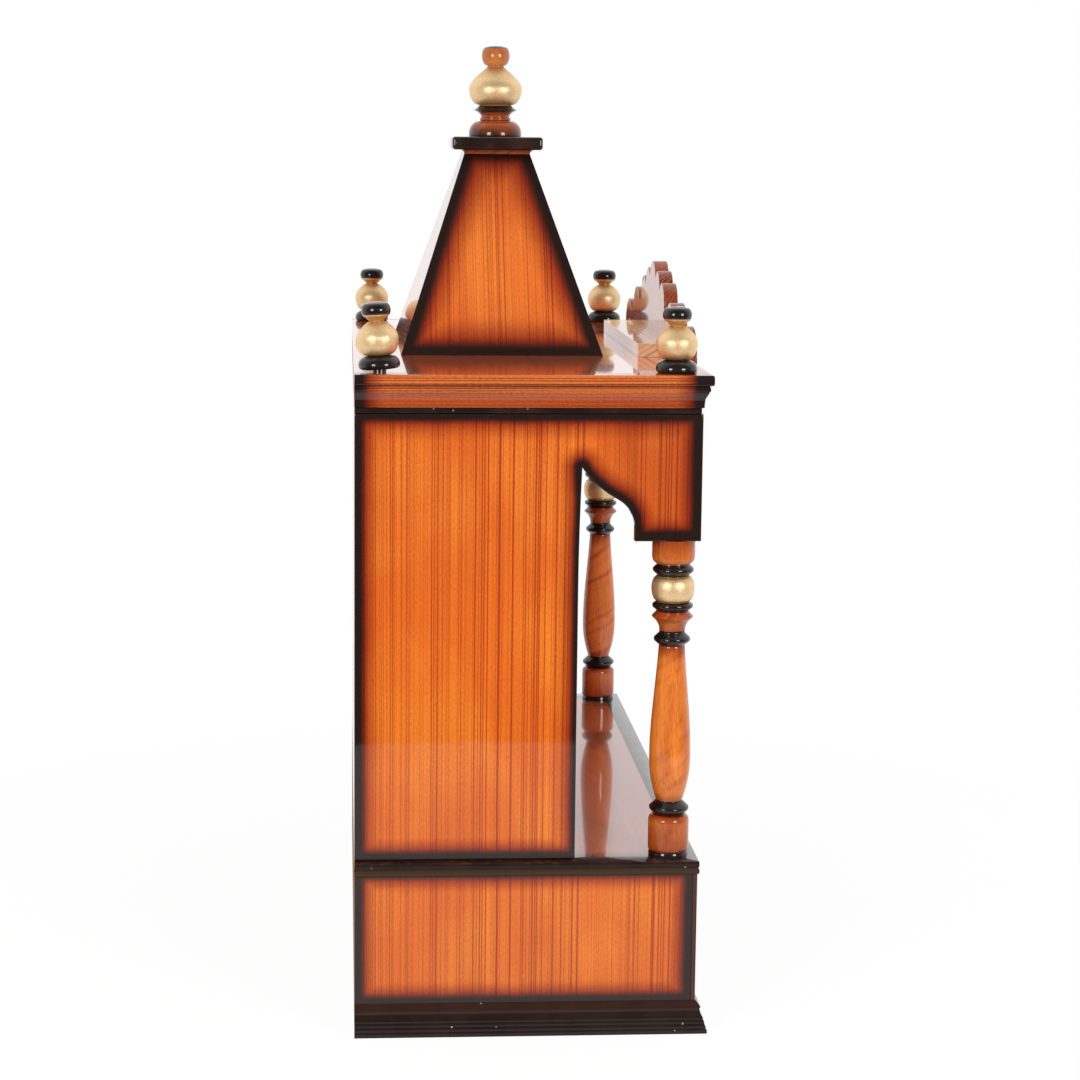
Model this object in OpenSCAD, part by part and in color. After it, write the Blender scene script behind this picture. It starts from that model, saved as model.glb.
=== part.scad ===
// Wall-mounted pooja mandir: a lacquered wooden home temple.
// A veneered cabinet with an open front stands on a box base. Two turned
// columns carry the front corners, and a hollow tower with a turned finial
// stands on the top board. Front faces -Y, back faces +Y, floor is z = 0.

/* [Cabinet] */
// Width across the outer faces of the two side boards
cabinet_w = 664; // [560:2:760]
// Depth of a side board, from the wall to its front edge
cabinet_d = 305; // [280:1:340]
// Height of the side boards, from the deck to the ceiling board
cabinet_h = 401; // [380:1:450]
// Thickness of the side boards, the valance and the top board
board_t = 12; // [8:0.5:16]
// Thickness of the back panel
back_t = 6; // [4:0.5:9]
// Thickness of the ceiling board
ceiling_t = 5.5; // [4:0.5:9]
// How far the ceiling board's edges lie behind the side boards' faces
neck_recess = 1.2; // [0.5:0.1:3]

/* [Side arch] */
// Depth of the closed rear part of each side board
closed_d = 197; // [170:1:205]
// Height of the board left between the arch's point and the ceiling board
arch_drop = 47; // [36:0.5:60]
// Length of the flat lower edge of each bracket, measured from its corner
bracket_flat = 58.5; // [50:0.5:70]
// Height of the brackets, from their flat lower edge up to the ceiling board
bracket_h = 112.5; // [100:0.5:130]
// Straight stretch under the bracket curve
bracket_lip = 9.5; // [6:0.5:14]
// How far the closed part's front edge bends forward at the arch's point
tip_lean = 2.2; // [0:0.1:4]
// Height over which that edge bends, measured down from the arch's point
tip_run = 110; // [60:5:160]
// Height of the front valance left above the crown of its arch
crown_drop = 26.5; // [16:0.5:34]

/* [Base] */
// How far each base side stands out past the side board above it
ledge = 7; // [4:0.5:16]
// How far the base front stands out past the front edges of the side boards
base_forward = 2; // [0:0.5:6]
// Height of the base box from the floor to the underside of the deck
base_h = 146; // [125:0.5:170]
// Thickness of the base side boards
base_side_t = 12; // [8:0.5:16]
// Thickness of the front board of the base
base_front_t = 4; // [3:0.5:8]
// Thickness of the back board and the bottom board of the base
base_back_t = 8; // [6:0.5:12]

/* [Deck] */
// Thickness of the deck board and its nosing
deck_t = 12; // [8:0.5:16]
// How far the nosing stands out past the base
nosing_out = 1.5; // [1:0.1:4]
// Width of the nosing strips glued round the deck board
nosing_w = 16; // [12:1:24]
// Height of the half-round bead under the nosing's top edge
bead_h = 5.5; // [4:0.5:6.5]

/* [Plinth moulding] */
// Height of the plinth moulding
plinth_h = 28.5; // [20:0.5:36]
// How far the plinth moulding stands out at the floor
plinth_out = 10; // [6:0.5:14]

/* [Cornice] */
// Height of the cornice moulding
cornice_h = 29; // [22:0.5:34]
// How far the cornice stands out past the side boards
cornice_out = 8; // [6:0.5:12]
// Width of the cornice strips on the inside of the carcass
cornice_in = 14; // [12:0.5:20]

/* [Columns] */
// Largest radius of a column
column_r = 19.2; // [15:0.2:21]
// Distance of a column's axis behind the front edges of the side boards
column_inset = 22; // [20:0.5:32]
// Distance of a column's axis inside the outer face of its side board
column_side_inset = 17; // [16:0.5:32]

/* [Corner finials] */
// Height of a corner finial
finial_h = 58; // [45:1:80]
// Largest radius of a corner finial
finial_r = 18.4; // [12:0.2:20]
// Distance of a finial's axis behind the faces of its corner
finial_inset = 22; // [20:0.5:34]
// Height of the bare peg under the left back finial, which stands proud
peg_lift = 3; // [1.5:0.5:6]
// Radius of that peg
peg_r = 6; // [4:0.5:8]
// Lean of the left back finial towards the wall, in degrees
finial_lean = 3.5; // [0:0.5:5]

/* [Tower] */
// Width of the tower at its foot, across the front
tower_w = 286; // [200:2:320]
// Depth of the tower at its foot
tower_d = 191; // [160:1:220]
// Width of the tower at its top, across the front
tower_top_w = 72; // [56:1:110]
// Depth of the tower at its top
tower_top_d = 64; // [56:1:76]
// Height of the tower's four boards
tower_h = 187.5; // [160:0.5:230]
// Thickness of the tower's boards
tower_t = 9; // [6:0.5:12]
// Distance of the tower's axis in front of the wall
tower_axis = 140; // [130:1:150]
// Height of the cove moulding under the cap plate
cove_h = 4; // [3:0.5:10]
// How far the cove stands out past the tower's top
cove_out = 4; // [2:0.5:8]
// How far the cap plate stands out past the tower's top on every side
cap_out = 12; // [8:0.5:18]
// Thickness of the cap plate
cap_t = 12.5; // [8:0.5:18]

/* [Central finial] */
// Height of the central finial
kalash_h = 88; // [70:1:120]
// Largest radius of the central finial
kalash_r = 26; // [18:0.5:30]

/* [Crest] */
// Length of the scalloped crest board
crest_w = 464; // [380:2:500]
// Height of the crest above the top board
crest_h = 83; // [70:1:110]
// Thickness of the crest board
crest_t = 13.5; // [8:0.5:16]
// Length of the backing strip behind the crest
strip_w = 310; // [220:2:360]
// Depth of the backing strip from front to back
strip_d = 32; // [24:1:36]
// Height of the backing strip
strip_h = 13; // [8:0.5:18]
// How far the crest's face lies behind the cornice's front edge
crest_setback = 0.5; // [0:0.1:4]

/* [Wall screws] */
// Distance between the two screw holes in the back panel
screw_spacing = 400; // [300:2:460]
// Radius of each screw hole
screw_r = 3; // [2:0.25:4]
// Height of the screw holes below the top of the back panel
screw_drop = 40; // [25:1:60]

/* [Hidden] */

// Heights above the floor
deck_z = base_h + deck_t;
ceiling_z = deck_z + cabinet_h;
cornice_z = ceiling_z + ceiling_t;
top_z = cornice_z + cornice_h;
cove_z = top_z + tower_h;
cap_z = cove_z + cove_h;
kalash_z = cap_z + cap_t;

// Places along Y: the wall is at back_y and the front is towards -Y
base_d = cabinet_d + base_forward;
overall_d = max(cabinet_d + cornice_out, base_d + plinth_out);
back_y = overall_d / 2;
front_y = back_y - cabinet_d;
base_front_y = back_y - base_d;
tower_y = back_y - tower_axis;

// Heights above the deck: of the columns and of the arch's point
column_h = cabinet_h - bracket_h;
arch_h = cabinet_h - arch_drop;

// Widths across X
base_w = cabinet_w + 2 * ledge;
inner_w = cabinet_w - 2 * board_t;

// Reach of the mitre cuts inside and outside a corner
mitre_in = 40;
mitre_out = 40;
// Height of the blocks that cut the mitres
mitre_block = 2 * kalash_z;
// Smoothness of turned work and of curved edges
turned_fn = 72;
arc_steps = 10;

// Colours of the finishes
teak = [0.72, 0.33, 0.10];
black_lacquer = [0.04, 0.03, 0.03];
dark_lacquer = [0.16, 0.06, 0.04];
turned_teak = [0.62, 0.27, 0.09];
gold = [0.83, 0.66, 0.36];

// Points along a circular arc from angle a0 to angle a1
function arc(cx, cy, r, a0, a1) =
    [for (i = [0:arc_steps]) let (a = a0 + (a1 - a0) * i / arc_steps)
        [cx + r * cos(a), cy + r * sin(a)]];

// Edge of one bracket from its flat foot (0, 0) up to the arch's point (run, rise).
// Above the lip a tight curve turns over into a long shallow one: two arcs in a unit
// square, stretched over the curve's run and height.
tight_curve = arc(0.53, 0, 0.53, 180, 123);
shallow_curve = arc(-0.41, 2.19, 1.85, 294, 319);
function bracket_edge(run, rise) = concat(
    [[0, 0]],
    [for (p = concat(tight_curve, shallow_curve)) [p[0] * run, bracket_lip + p[1] * (rise - bracket_lip)]],
    [[run, rise]]
);

// Mirror a list of points in the vertical axis, in reverse order
function flipped(points) =
    [for (i = [len(points) - 1:-1:0]) [-points[i][0], points[i][1]]];

// ---- Turned profiles: points [radius, height] from the foot upwards ----

// A rounded ring between two heights, out to radius r
function ring(z0, z1, r_in, r) =
    [for (i = [0:8]) let (a = -90 + 180 * i / 8)
        [r_in + (r - r_in) * cos(a), (z0 + z1) / 2 + (z1 - z0) / 2 * sin(a)]];

// The lower half of a bulb that widens from r0 to r
function swell(z0, z1, r0, r) =
    [for (i = [0:6]) let (a = -90 + 90 * i / 6)
        [r0 + (r - r0) * cos(a), z1 + (z1 - z0) * sin(a)]];

// The upper half of a bulb that closes from r to r1
function close_in(z0, z1, r, r1) =
    [for (i = [0:6]) let (a = 90 * i / 6)
        [r1 + (r - r1) * cos(a), z0 + (z1 - z0) * sin(a)]];

// A pointed ring that slants out from r0 to r at height z and back to r1
function ridge(z0, z, z1, r0, r, r1) =
    [[r0, z0], [r - 0.02, z - 0.004], [r, z], [r - 0.02, z + 0.004], [r1, z1]];

// The foot of a long belly: it widens fast from r0 and ends upright at r
function belly(z0, z1, r0, r) =
    [for (i = [0:8]) let (t = i / 8) [r0 + (r - r0) * t * (2 - t), z0 + (z1 - z0) * t]];

// A long shaft that starts upright at r and thins to r1 with a nearly straight end
function thin_out(z0, z1, r, r1) =
    [for (i = [0:8]) let (t = i / 8)
        [r + (r1 - r) * t * t * (2.2 - 1.2 * t), z0 + (z1 - z0) * t]];

// A hollow flare that opens from r0 to r, fastest at its end
function flare(z0, z1, r0, r) =
    [for (i = [0:6]) let (t = i / 6) [r0 + (r - r0) * pow(t, 2.4), z0 + (z1 - z0) * t]];

// The shoulder of an onion: from r it closes to a neck of r1. A low power is round,
// and a high one is slender.
function shoulder(z0, z1, r, r1, power) =
    [for (i = [0:9]) let (t = i / 9)
        [r1 + (r - r1) * pow(cos(90 * t), power), z0 + (z1 - z0) * t]];

// Scale a profile drawn as shares of the largest radius and of the height
function sized(points, r, h) = [for (p = points) [p[0] * r, p[1] * h]];

// Turn a profile about the Z axis, closed at both ends
module turned(points) {
    rotate_extrude($fn = turned_fn)
        polygon(concat([[0, points[0][1]]], points, [[0, points[len(points) - 1][1]]]));
}

// Column: shares of the largest radius and of the height
COLUMN_SHAPE = concat(
    [[0.93, 0], [0.93, 0.010], [0.89, 0.014], [0.89, 0.017]],
    [[0.955, 0.021], [0.955, 0.110]],
    close_in(0.110, 0.129, 0.955, 0.78),
    ridge(0.130, 0.152, 0.176, 0.70, 0.93, 0.62),
    belly(0.178, 0.310, 0.62, 0.965),
    thin_out(0.320, 0.667, 0.965, 0.61),
    ridge(0.668, 0.6876, 0.708, 0.60, 0.85, 0.60),
    flare(0.711, 0.756, 0.60, 0.94),
    [[0.965, 0.759], [0.94, 0.7615], [0.76, 0.774]],
    ridge(0.776, 0.793, 0.805, 0.74, 0.95, 0.74),
    swell(0.8065, 0.848, 0.74, 1.0),
    close_in(0.848, 0.8845, 1.0, 0.72),
    ridge(0.886, 0.905, 0.922, 0.72, 0.955, 0.75),
    swell(0.924, 0.9475, 0.75, 1.0),
    [[1.0, 1]]
);

// Corner finial: black foot, gilded onion and a ball with a flat top
FINIAL_SHAPE = concat(
    [[0.86, 0]],
    swell(0, 0.060, 0.86, 1.0),
    close_in(0.060, 0.198, 1.0, 0.52),
    swell(0.204, 0.448, 0.55, 1.0),
    shoulder(0.448, 0.712, 1.0, 0.33, 0.75),
    [[0.33, 0.716], [0.46, 0.755]],
    swell(0.780, 0.878, 0.53, 0.70),
    close_in(0.878, 0.985, 0.70, 0.46),
    [[0.30, 1]]
);

// Central finial: bulb, bead, pointed collar, gilded onion and ball
KALASH_SHAPE = concat(
    [[0.97, 0]],
    swell(0, 0.035, 0.97, 1.0),
    close_in(0.035, 0.177, 1.0, 0.60),
    ring(0.179, 0.214, 0.55, 0.585),
    flare(0.216, 0.290, 0.54, 0.80),
    [[0.82, 0.294], [0.80, 0.300], [0.67, 0.328], [0.62, 0.345]],
    swell(0.350, 0.525, 0.58, 1.0),
    shoulder(0.525, 0.779, 1.0, 0.30, 1.15),
    swell(0.783, 0.895, 0.31, 0.53),
    close_in(0.895, 0.988, 0.53, 0.38),
    [[0.26, 1]]
);

// ---- Mouldings: points [distance out from the face, height above the foot] ----

// Black plinth: three fine beads, a hollow, and a sloping top above a sharp edge
PLINTH_SHAPE = concat(
    [[0, 0], [0.98, 0], [1, 0.02], [1, 0.11], [0.90, 0.14]],
    arc(0.84, 0.21, 0.05, -50, 60),
    [[0.80, 0.27]],
    arc(0.73, 0.34, 0.05, -50, 60),
    [[0.69, 0.40]],
    arc(0.62, 0.46, 0.05, -50, 60),
    [[0.56, 0.53], [0.46, 0.60], [0.40, 0.69], [0.38, 0.77]],
    [[0.45, 0.79], [0.44, 0.83], [0.04, 1], [0, 1]]
);

// Cornice: a sloping foot, a hollow, a small bead between two grooves and a rounded lip
CORNICE_SHAPE = concat(
    [[0, 0], [0.06, 0], [0.08, 0.14], [0.14, 0.27]],
    [for (i = [0:6]) let (a = 80 * i / 6) [0.60 - 0.42 * cos(a), 0.30 + 0.20 * (1 - cos(a))]],
    [[0.50, 0.480], [0.50, 0.500]],
    arc(0.58, 0.565, 0.07, -70, 80),
    [[0.56, 0.645], [0.56, 0.665], [0.82, 0.685]],
    arc(0.90, 0.79, 0.10, -60, 0),
    arc(0.88, 0.88, 0.12, 0, 85),
    [[0.60, 1], [0, 1]]
);

// Deck nosing: a half-round bead below, a groove and a rounded upper edge
bead_share = bead_h / deck_t;
groove_top = (bead_h + 0.9) / deck_t;
NOSING_SHAPE = concat(
    [[0, 0], [0.3, 0]],
    [for (i = [0:8]) let (a = -90 + 180 * i / 8) [0.35 + 0.65 * cos(a), bead_share * (1 + sin(a)) / 2]],
    [[0.2, bead_share], [0.2, (bead_share + groove_top) / 2]],
    [[0.85, groove_top], [0.95, 0.80], [0.85, 0.92], [0.6, 0.98], [0.3, 1], [0, 1]]
);

// A moulding's outline at its real size, closed inwards by a straight back
function moulding(shape, out, height, inwards, z) = concat(
    [[-inwards, z]],
    [for (p = shape) [p[0] * out, z + p[1] * height]],
    [[-inwards, z + height]]
);

// The front strip of a mitred moulding round a carcass w wide whose face is at y
module moulding_front(outline, w, y) {
    intersection() {
        translate([-w, 0, 0]) rotate([90, 0, 90]) linear_extrude(2 * w)
            polygon([for (p = outline) [y - p[0], p[1]]]);
        translate([0, 0, -mitre_block / 4]) linear_extrude(mitre_block)
            polygon([
                [-w / 2 - mitre_out, y - mitre_out], [w / 2 + mitre_out, y - mitre_out],
                [w / 2 - mitre_in, y + mitre_in], [-w / 2 + mitre_in, y + mitre_in]
            ]);
    }
}

// The left strip of the same moulding, which runs back to the wall
module moulding_left(outline, w, y) {
    intersection() {
        translate([0, back_y, 0]) rotate([90, 0, 0]) linear_extrude(back_y - y + mitre_out)
            polygon([for (p = outline) [-w / 2 - p[0], p[1]]]);
        translate([0, 0, -mitre_block / 4]) linear_extrude(mitre_block)
            polygon([
                [-w / 2 - mitre_out, y - mitre_out], [-w / 2 + mitre_in, y + mitre_in],
                [-w / 2 + mitre_in, back_y], [-w / 2 - mitre_out, back_y]
            ]);
    }
}

// The right strip is the left one seen in a mirror
module moulding_right(outline, w, y) {
    mirror([1, 0, 0]) moulding_left(outline, w, y);
}

// ---- Base ----

PLINTH = moulding(PLINTH_SHAPE, plinth_out, plinth_h, 0, 0);

module plinth_front() color(black_lacquer) moulding_front(PLINTH, base_w, base_front_y);
module plinth_left() color(black_lacquer) moulding_left(PLINTH, base_w, base_front_y);
module plinth_right() color(black_lacquer) moulding_right(PLINTH, base_w, base_front_y);

// Side board of the base, on the -X side
module base_left() color(teak)
    translate([-base_w / 2, base_front_y + base_front_t, 0])
        cube([base_side_t, base_d - base_front_t, base_h]);

module base_right() mirror([1, 0, 0]) base_left();

// Front board, which covers the front edges of both base sides
module base_front() color(teak)
    translate([-base_w / 2, base_front_y, 0]) cube([base_w, base_front_t, base_h]);

module base_bottom() color(dark_lacquer)
    translate([-base_w / 2 + base_side_t, base_front_y + base_front_t, 0])
        cube([base_w - 2 * base_side_t, base_d - base_front_t - base_back_t, base_back_t]);

module base_back() color(dark_lacquer)
    translate([-base_w / 2 + base_side_t, back_y - base_back_t, 0])
        cube([base_w - 2 * base_side_t, base_back_t, base_h]);

// ---- Deck ----

NOSING = moulding(NOSING_SHAPE, nosing_out, deck_t, nosing_w, base_h);

module deck_board() color(dark_lacquer)
    translate([-base_w / 2 + nosing_w, base_front_y + nosing_w, base_h])
        cube([base_w - 2 * nosing_w, base_d - nosing_w, deck_t]);

module deck_nosing_front() color(black_lacquer) moulding_front(NOSING, base_w, base_front_y);
module deck_nosing_left() color(black_lacquer) moulding_left(NOSING, base_w, base_front_y);
module deck_nosing_right() color(black_lacquer) moulding_right(NOSING, base_w, base_front_y);

// ---- Cabinet ----

// Run and rise of the bracket's curve on the side boards
side_run = cabinet_d - closed_d - tip_lean - bracket_flat;
bracket_rise = arch_h - column_h;

// Front edge of the closed part, from the arch's point down to where its bend ends
tip_edge =
    [for (i = [1:4]) let (t = i / 4)
        [cabinet_d - closed_d - tip_lean * (1 - t) * (1 - t), arch_h - tip_run * t]];

// Side board with its arch: a full-depth rear part and a bracket over the column.
// The outline is drawn with the front edge at 0 and the wall towards +.
module side_board_left() color(teak)
    translate([-cabinet_w / 2, front_y, deck_z]) rotate([90, 0, 90]) linear_extrude(board_t)
        polygon(concat(
            [[cabinet_d, 0], [cabinet_d, cabinet_h], [0, cabinet_h], [0, column_h]],
            [for (p = bracket_edge(side_run, bracket_rise)) [bracket_flat + p[0], column_h + p[1]]],
            tip_edge,
            [[cabinet_d - closed_d, 0]]
        ));

module side_board_right() mirror([1, 0, 0]) side_board_left();

// Front valance between the side boards: the same bracket at each end and a
// shallow pointed arch between them
front_arch_rise = arch_drop - crown_drop;
arch_half = inner_w / 2 - (bracket_flat - board_t) - side_run;

// Pointed arch from (-half, 0) up to (0, rise)
function arch_edge(half, rise) =
    [for (i = [0:arc_steps]) let (t = i / arc_steps, round = sqrt(1 - pow(1 - t, 2)))
        [-half * (1 - t), rise * round * (0.8 + 0.2 * t)]];

module front_valance() color(teak)
    translate([0, front_y + board_t, deck_z + column_h]) rotate([90, 0, 0]) linear_extrude(board_t) {
        foot = inner_w / 2 - (bracket_flat - board_t);
        arch = arch_edge(arch_half, front_arch_rise);
        half = concat(
            [[-inner_w / 2, 0]],
            [for (p = bracket_edge(side_run, bracket_rise)) [p[0] - foot, p[1]]],
            [for (i = [1:arc_steps]) [arch[i][0], bracket_rise + arch[i][1]]]
        );
        top = [[-inner_w / 2, bracket_h]];
        polygon(concat(top, half, flipped(half), flipped(top)));
    }

// Back panel with two holes for wall screws
module back_panel() color(teak) difference() {
    translate([-inner_w / 2, back_y - back_t, deck_z]) cube([inner_w, back_t, cabinet_h]);
    for (side = [-1, 1])
        translate([side * screw_spacing / 2, back_y + 1, ceiling_z - screw_drop])
            rotate([90, 0, 0]) cylinder(r = screw_r, h = back_t + 2, $fn = 48);
}

// Turned column under the corner of the brackets, on the -X side
module column_left() color(turned_teak)
    translate([-cabinet_w / 2 + column_side_inset, front_y + column_inset, deck_z])
        turned(sized(COLUMN_SHAPE, column_r, column_h));

module column_right() mirror([1, 0, 0]) column_left();

// ---- Top ----

// Ceiling board: its black edges show as a narrow recess under the cornice
module ceiling_board() color(black_lacquer)
    translate([-cabinet_w / 2 + neck_recess, front_y + neck_recess, ceiling_z])
        cube([cabinet_w - 2 * neck_recess, cabinet_d - neck_recess, ceiling_t]);

CORNICE = moulding(CORNICE_SHAPE, cornice_out, cornice_h, cornice_in, cornice_z);

module cornice_front() color(teak) moulding_front(CORNICE, cabinet_w, front_y);
module cornice_left() color(teak) moulding_left(CORNICE, cabinet_w, front_y);
module cornice_right() color(teak) moulding_right(CORNICE, cabinet_w, front_y);

// Top board inside the cornice, flush with its upper edge
top_w = cabinet_w - 2 * cornice_in;

module top_board() color(dark_lacquer)
    translate([-top_w / 2, front_y + cornice_in, top_z - board_t])
        cube([top_w, cabinet_d - cornice_in, board_t]);

// Rail that closes the gap between ceiling and top board at the wall
module top_back_rail() color(dark_lacquer)
    translate([-top_w / 2, back_y - board_t, cornice_z]) cube([top_w, board_t, cornice_h - board_t]);

// ---- Tower ----

// Plan of the wedge that one tower board fills, between the two hip edges.
// The hips run from the foot (half_w, half_d) to the top (top_w, top_d).
module hip_wedge(half_w, half_d, top_w, top_d) {
    outer = -0.15;
    inner = 1.3;
    x0 = half_w + (top_w - half_w) * outer;
    x1 = half_w + (top_w - half_w) * inner;
    y0 = half_d + (top_d - half_d) * outer;
    y1 = half_d + (top_d - half_d) * inner;
    translate([0, 0, -1]) linear_extrude(tower_h + 2)
        polygon([[-x0, -y0], [x0, -y0], [x1, -y1], [-x1, -y1]]);
}

// One leaning board, foot at z = 0, facing -Y: half_w wide at each side of the
// axis and half_d in front of it, and top_w wide and top_d in front at its top
module leaning_board(half_w, half_d, top_w, top_d) {
    lean = half_d - top_d;
    slice = tower_t * sqrt(lean * lean + tower_h * tower_h) / tower_h;
    intersection() {
        translate([-half_w - 1, 0, 0]) rotate([90, 0, 90]) linear_extrude(2 * half_w + 2)
            polygon([
                [-half_d, 0], [-half_d + slice, 0],
                [-half_d + lean + slice, tower_h], [-half_d + lean, tower_h]
            ]);
        hip_wedge(half_w, half_d, top_w, top_d);
    }
}

// The front board, drawn about the tower's axis
module broad_board() color(teak)
    leaning_board(tower_w / 2, tower_d / 2, tower_top_w / 2, tower_top_d / 2);

// A side board, drawn as if it were the front one
module narrow_board() color(teak)
    leaning_board(tower_d / 2, tower_w / 2, tower_top_d / 2, tower_top_w / 2);

module tower_front() translate([0, tower_y, top_z]) broad_board();
module tower_back() translate([0, tower_y, top_z]) rotate([0, 0, 180]) broad_board();
module tower_left() translate([0, tower_y, top_z]) rotate([0, 0, -90]) narrow_board();
module tower_right() translate([0, tower_y, top_z]) rotate([0, 0, 90]) narrow_board();

// Cove moulding between the tower and its cap plate
module tower_cove() color(turned_teak) translate([0, tower_y, cove_z]) intersection() {
    translate([-tower_w / 2, 0, 0]) rotate([90, 0, 90]) linear_extrude(tower_w)
        polygon(cove_outline(tower_top_d / 2));
    translate([0, tower_d / 2, 0]) rotate([90, 0, 0]) linear_extrude(tower_d)
        polygon(cove_outline(tower_top_w / 2));
}

// Cove section: half wide at the foot and hollow on both sides
function cove_side(half) =
    [for (i = [0:6]) let (a = 90 * i / 6) [half + cove_out * (1 - cos(a)), cove_h * sin(a)]];
function cove_outline(half) = concat(cove_side(half), flipped(cove_side(half)));

cap_w = tower_top_w + 2 * cap_out;
cap_d = tower_top_d + 2 * cap_out;

module tower_cap() color(black_lacquer)
    translate([-cap_w / 2, tower_y - cap_d / 2, cap_z]) cube([cap_w, cap_d, cap_t]);

module kalash_finial() color(gold)
    translate([0, tower_y, kalash_z]) turned(sized(KALASH_SHAPE, kalash_r, kalash_h));

// ---- Crest ----

crest_y = front_y - cornice_out + crest_setback;

// Lobes of one half of the crest: centre across, centre height and radius. The first
// and third are shares of half the length, the second is a share of the height.
CREST_LOBES = [
    [0, 0.700, 0.110],
    [0.160, 0.669, 0.084],
    [0.310, 0.524, 0.093],
    [0.578, 0.241, 0.129],
    [0.871, 0.036, 0.129]
];
// Top of the solid board under the lobes, as the same kinds of shares
CREST_BODY = [
    [0, 0.70], [0.160, 0.65], [0.224, 0.59], [0.424, 0.48],
    [0.724, 0.30], [0.990, 0.05], [0.990, 0]
];

module crest_board() color(teak)
    translate([0, crest_y + crest_t, top_z]) rotate([90, 0, 0]) intersection() {
        half = crest_w / 2;
        body = [for (p = CREST_BODY) [p[0] * half, p[1] * crest_h]];
        union() {
            for (side = [-1, 1], lobe = CREST_LOBES)
                if (side < 0 || lobe[0] > 0)
                    translate([side * lobe[0] * half, lobe[1] * crest_h, 0])
                        cylinder(r = lobe[2] * half, h = crest_t, $fn = 48);
            linear_extrude(crest_t) polygon(concat(flipped(body), body));
        }
        translate([-half, 0, -1]) cube([crest_w, crest_h, crest_t + 2]);
    }

// Backing strip behind the crest
module crest_strip() color(turned_teak)
    translate([-strip_w / 2, crest_y + crest_t, top_z]) cube([strip_w, strip_d, strip_h]);

// ---- Corner finials ----

// A finial over one corner: side is -1 or 1 across, depth_y is its place along Y
module corner_finial(side, depth_y) color(gold)
    translate([side * (cabinet_w / 2 - finial_inset), depth_y, top_z])
        turned(sized(FINIAL_SHAPE, finial_r, finial_h));

module finial_front_left() corner_finial(-1, front_y + finial_inset);
module finial_front_right() corner_finial(1, front_y + finial_inset);
module finial_back_right() corner_finial(1, back_y - finial_inset);

// The left back finial isn't pushed home: it leans on a peg that shows under its foot
module finial_back_left() color(gold)
    translate([-cabinet_w / 2 + finial_inset, back_y - finial_inset, top_z]) {
        cylinder(r = peg_r, h = 2 * peg_lift, $fn = turned_fn);
        translate([0, 0, peg_lift]) rotate([-finial_lean, 0, 0])
            turned(sized(FINIAL_SHAPE, finial_r, finial_h));
    }

plinth_front();
plinth_left();
plinth_right();
base_left();
base_right();
base_front();
base_back();
base_bottom();
deck_board();
deck_nosing_front();
deck_nosing_left();
deck_nosing_right();
side_board_left();
side_board_right();
front_valance();
back_panel();
column_left();
column_right();
ceiling_board();
top_back_rail();
top_board();
cornice_front();
cornice_left();
cornice_right();
tower_front();
tower_back();
tower_left();
tower_right();
tower_cove();
tower_cap();
kalash_finial();
crest_board();
crest_strip();
finial_front_left();
finial_front_right();
finial_back_left();
finial_back_right();
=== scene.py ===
import math

import bmesh
import bpy
from mathutils import Matrix, Vector
from mathutils.geometry import delaunay_2d_cdt


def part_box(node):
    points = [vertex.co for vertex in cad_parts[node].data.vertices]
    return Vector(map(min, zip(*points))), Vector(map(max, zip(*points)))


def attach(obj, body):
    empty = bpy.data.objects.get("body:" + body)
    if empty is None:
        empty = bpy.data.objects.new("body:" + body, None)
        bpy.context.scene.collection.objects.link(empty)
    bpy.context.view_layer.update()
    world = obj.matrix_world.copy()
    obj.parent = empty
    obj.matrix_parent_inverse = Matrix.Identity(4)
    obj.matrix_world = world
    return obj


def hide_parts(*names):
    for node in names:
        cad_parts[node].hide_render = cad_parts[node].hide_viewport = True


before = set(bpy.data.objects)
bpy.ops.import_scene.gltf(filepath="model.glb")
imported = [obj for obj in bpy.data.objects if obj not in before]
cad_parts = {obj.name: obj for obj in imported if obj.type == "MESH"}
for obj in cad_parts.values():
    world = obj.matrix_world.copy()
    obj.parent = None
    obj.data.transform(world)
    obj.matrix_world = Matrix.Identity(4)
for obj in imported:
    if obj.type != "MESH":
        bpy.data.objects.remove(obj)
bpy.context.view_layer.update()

bl_info = {
    "name": "Wooden Home Temple",
    "version": (1, 0, 0),
    "blender": (4, 5, 0),
    "location": "View3D > Sidebar > Temple",
    "description": "Finishes a lacquered wooden home temple around its packed frame",
    "category": "Object",
}

# Lowest and highest corner of every carried-over piece, in metres
BOX = {node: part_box(node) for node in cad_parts}
X, Y, Z = 0, 1, 2


# ---- Settings -------------------------------------------------------------------------


def colour(name, description, value):
    return bpy.props.FloatVectorProperty(
        name=name, description=description, default=value, size=3, min=0.0, max=1.0, subtype="COLOR"
    )


def scalar(name, description, value, **more):
    return bpy.props.FloatProperty(name=name, description=description, default=value, min=0.0, **more)


def length(name, description, value):
    return scalar(name, description, value, unit="LENGTH", subtype="DISTANCE")


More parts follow.
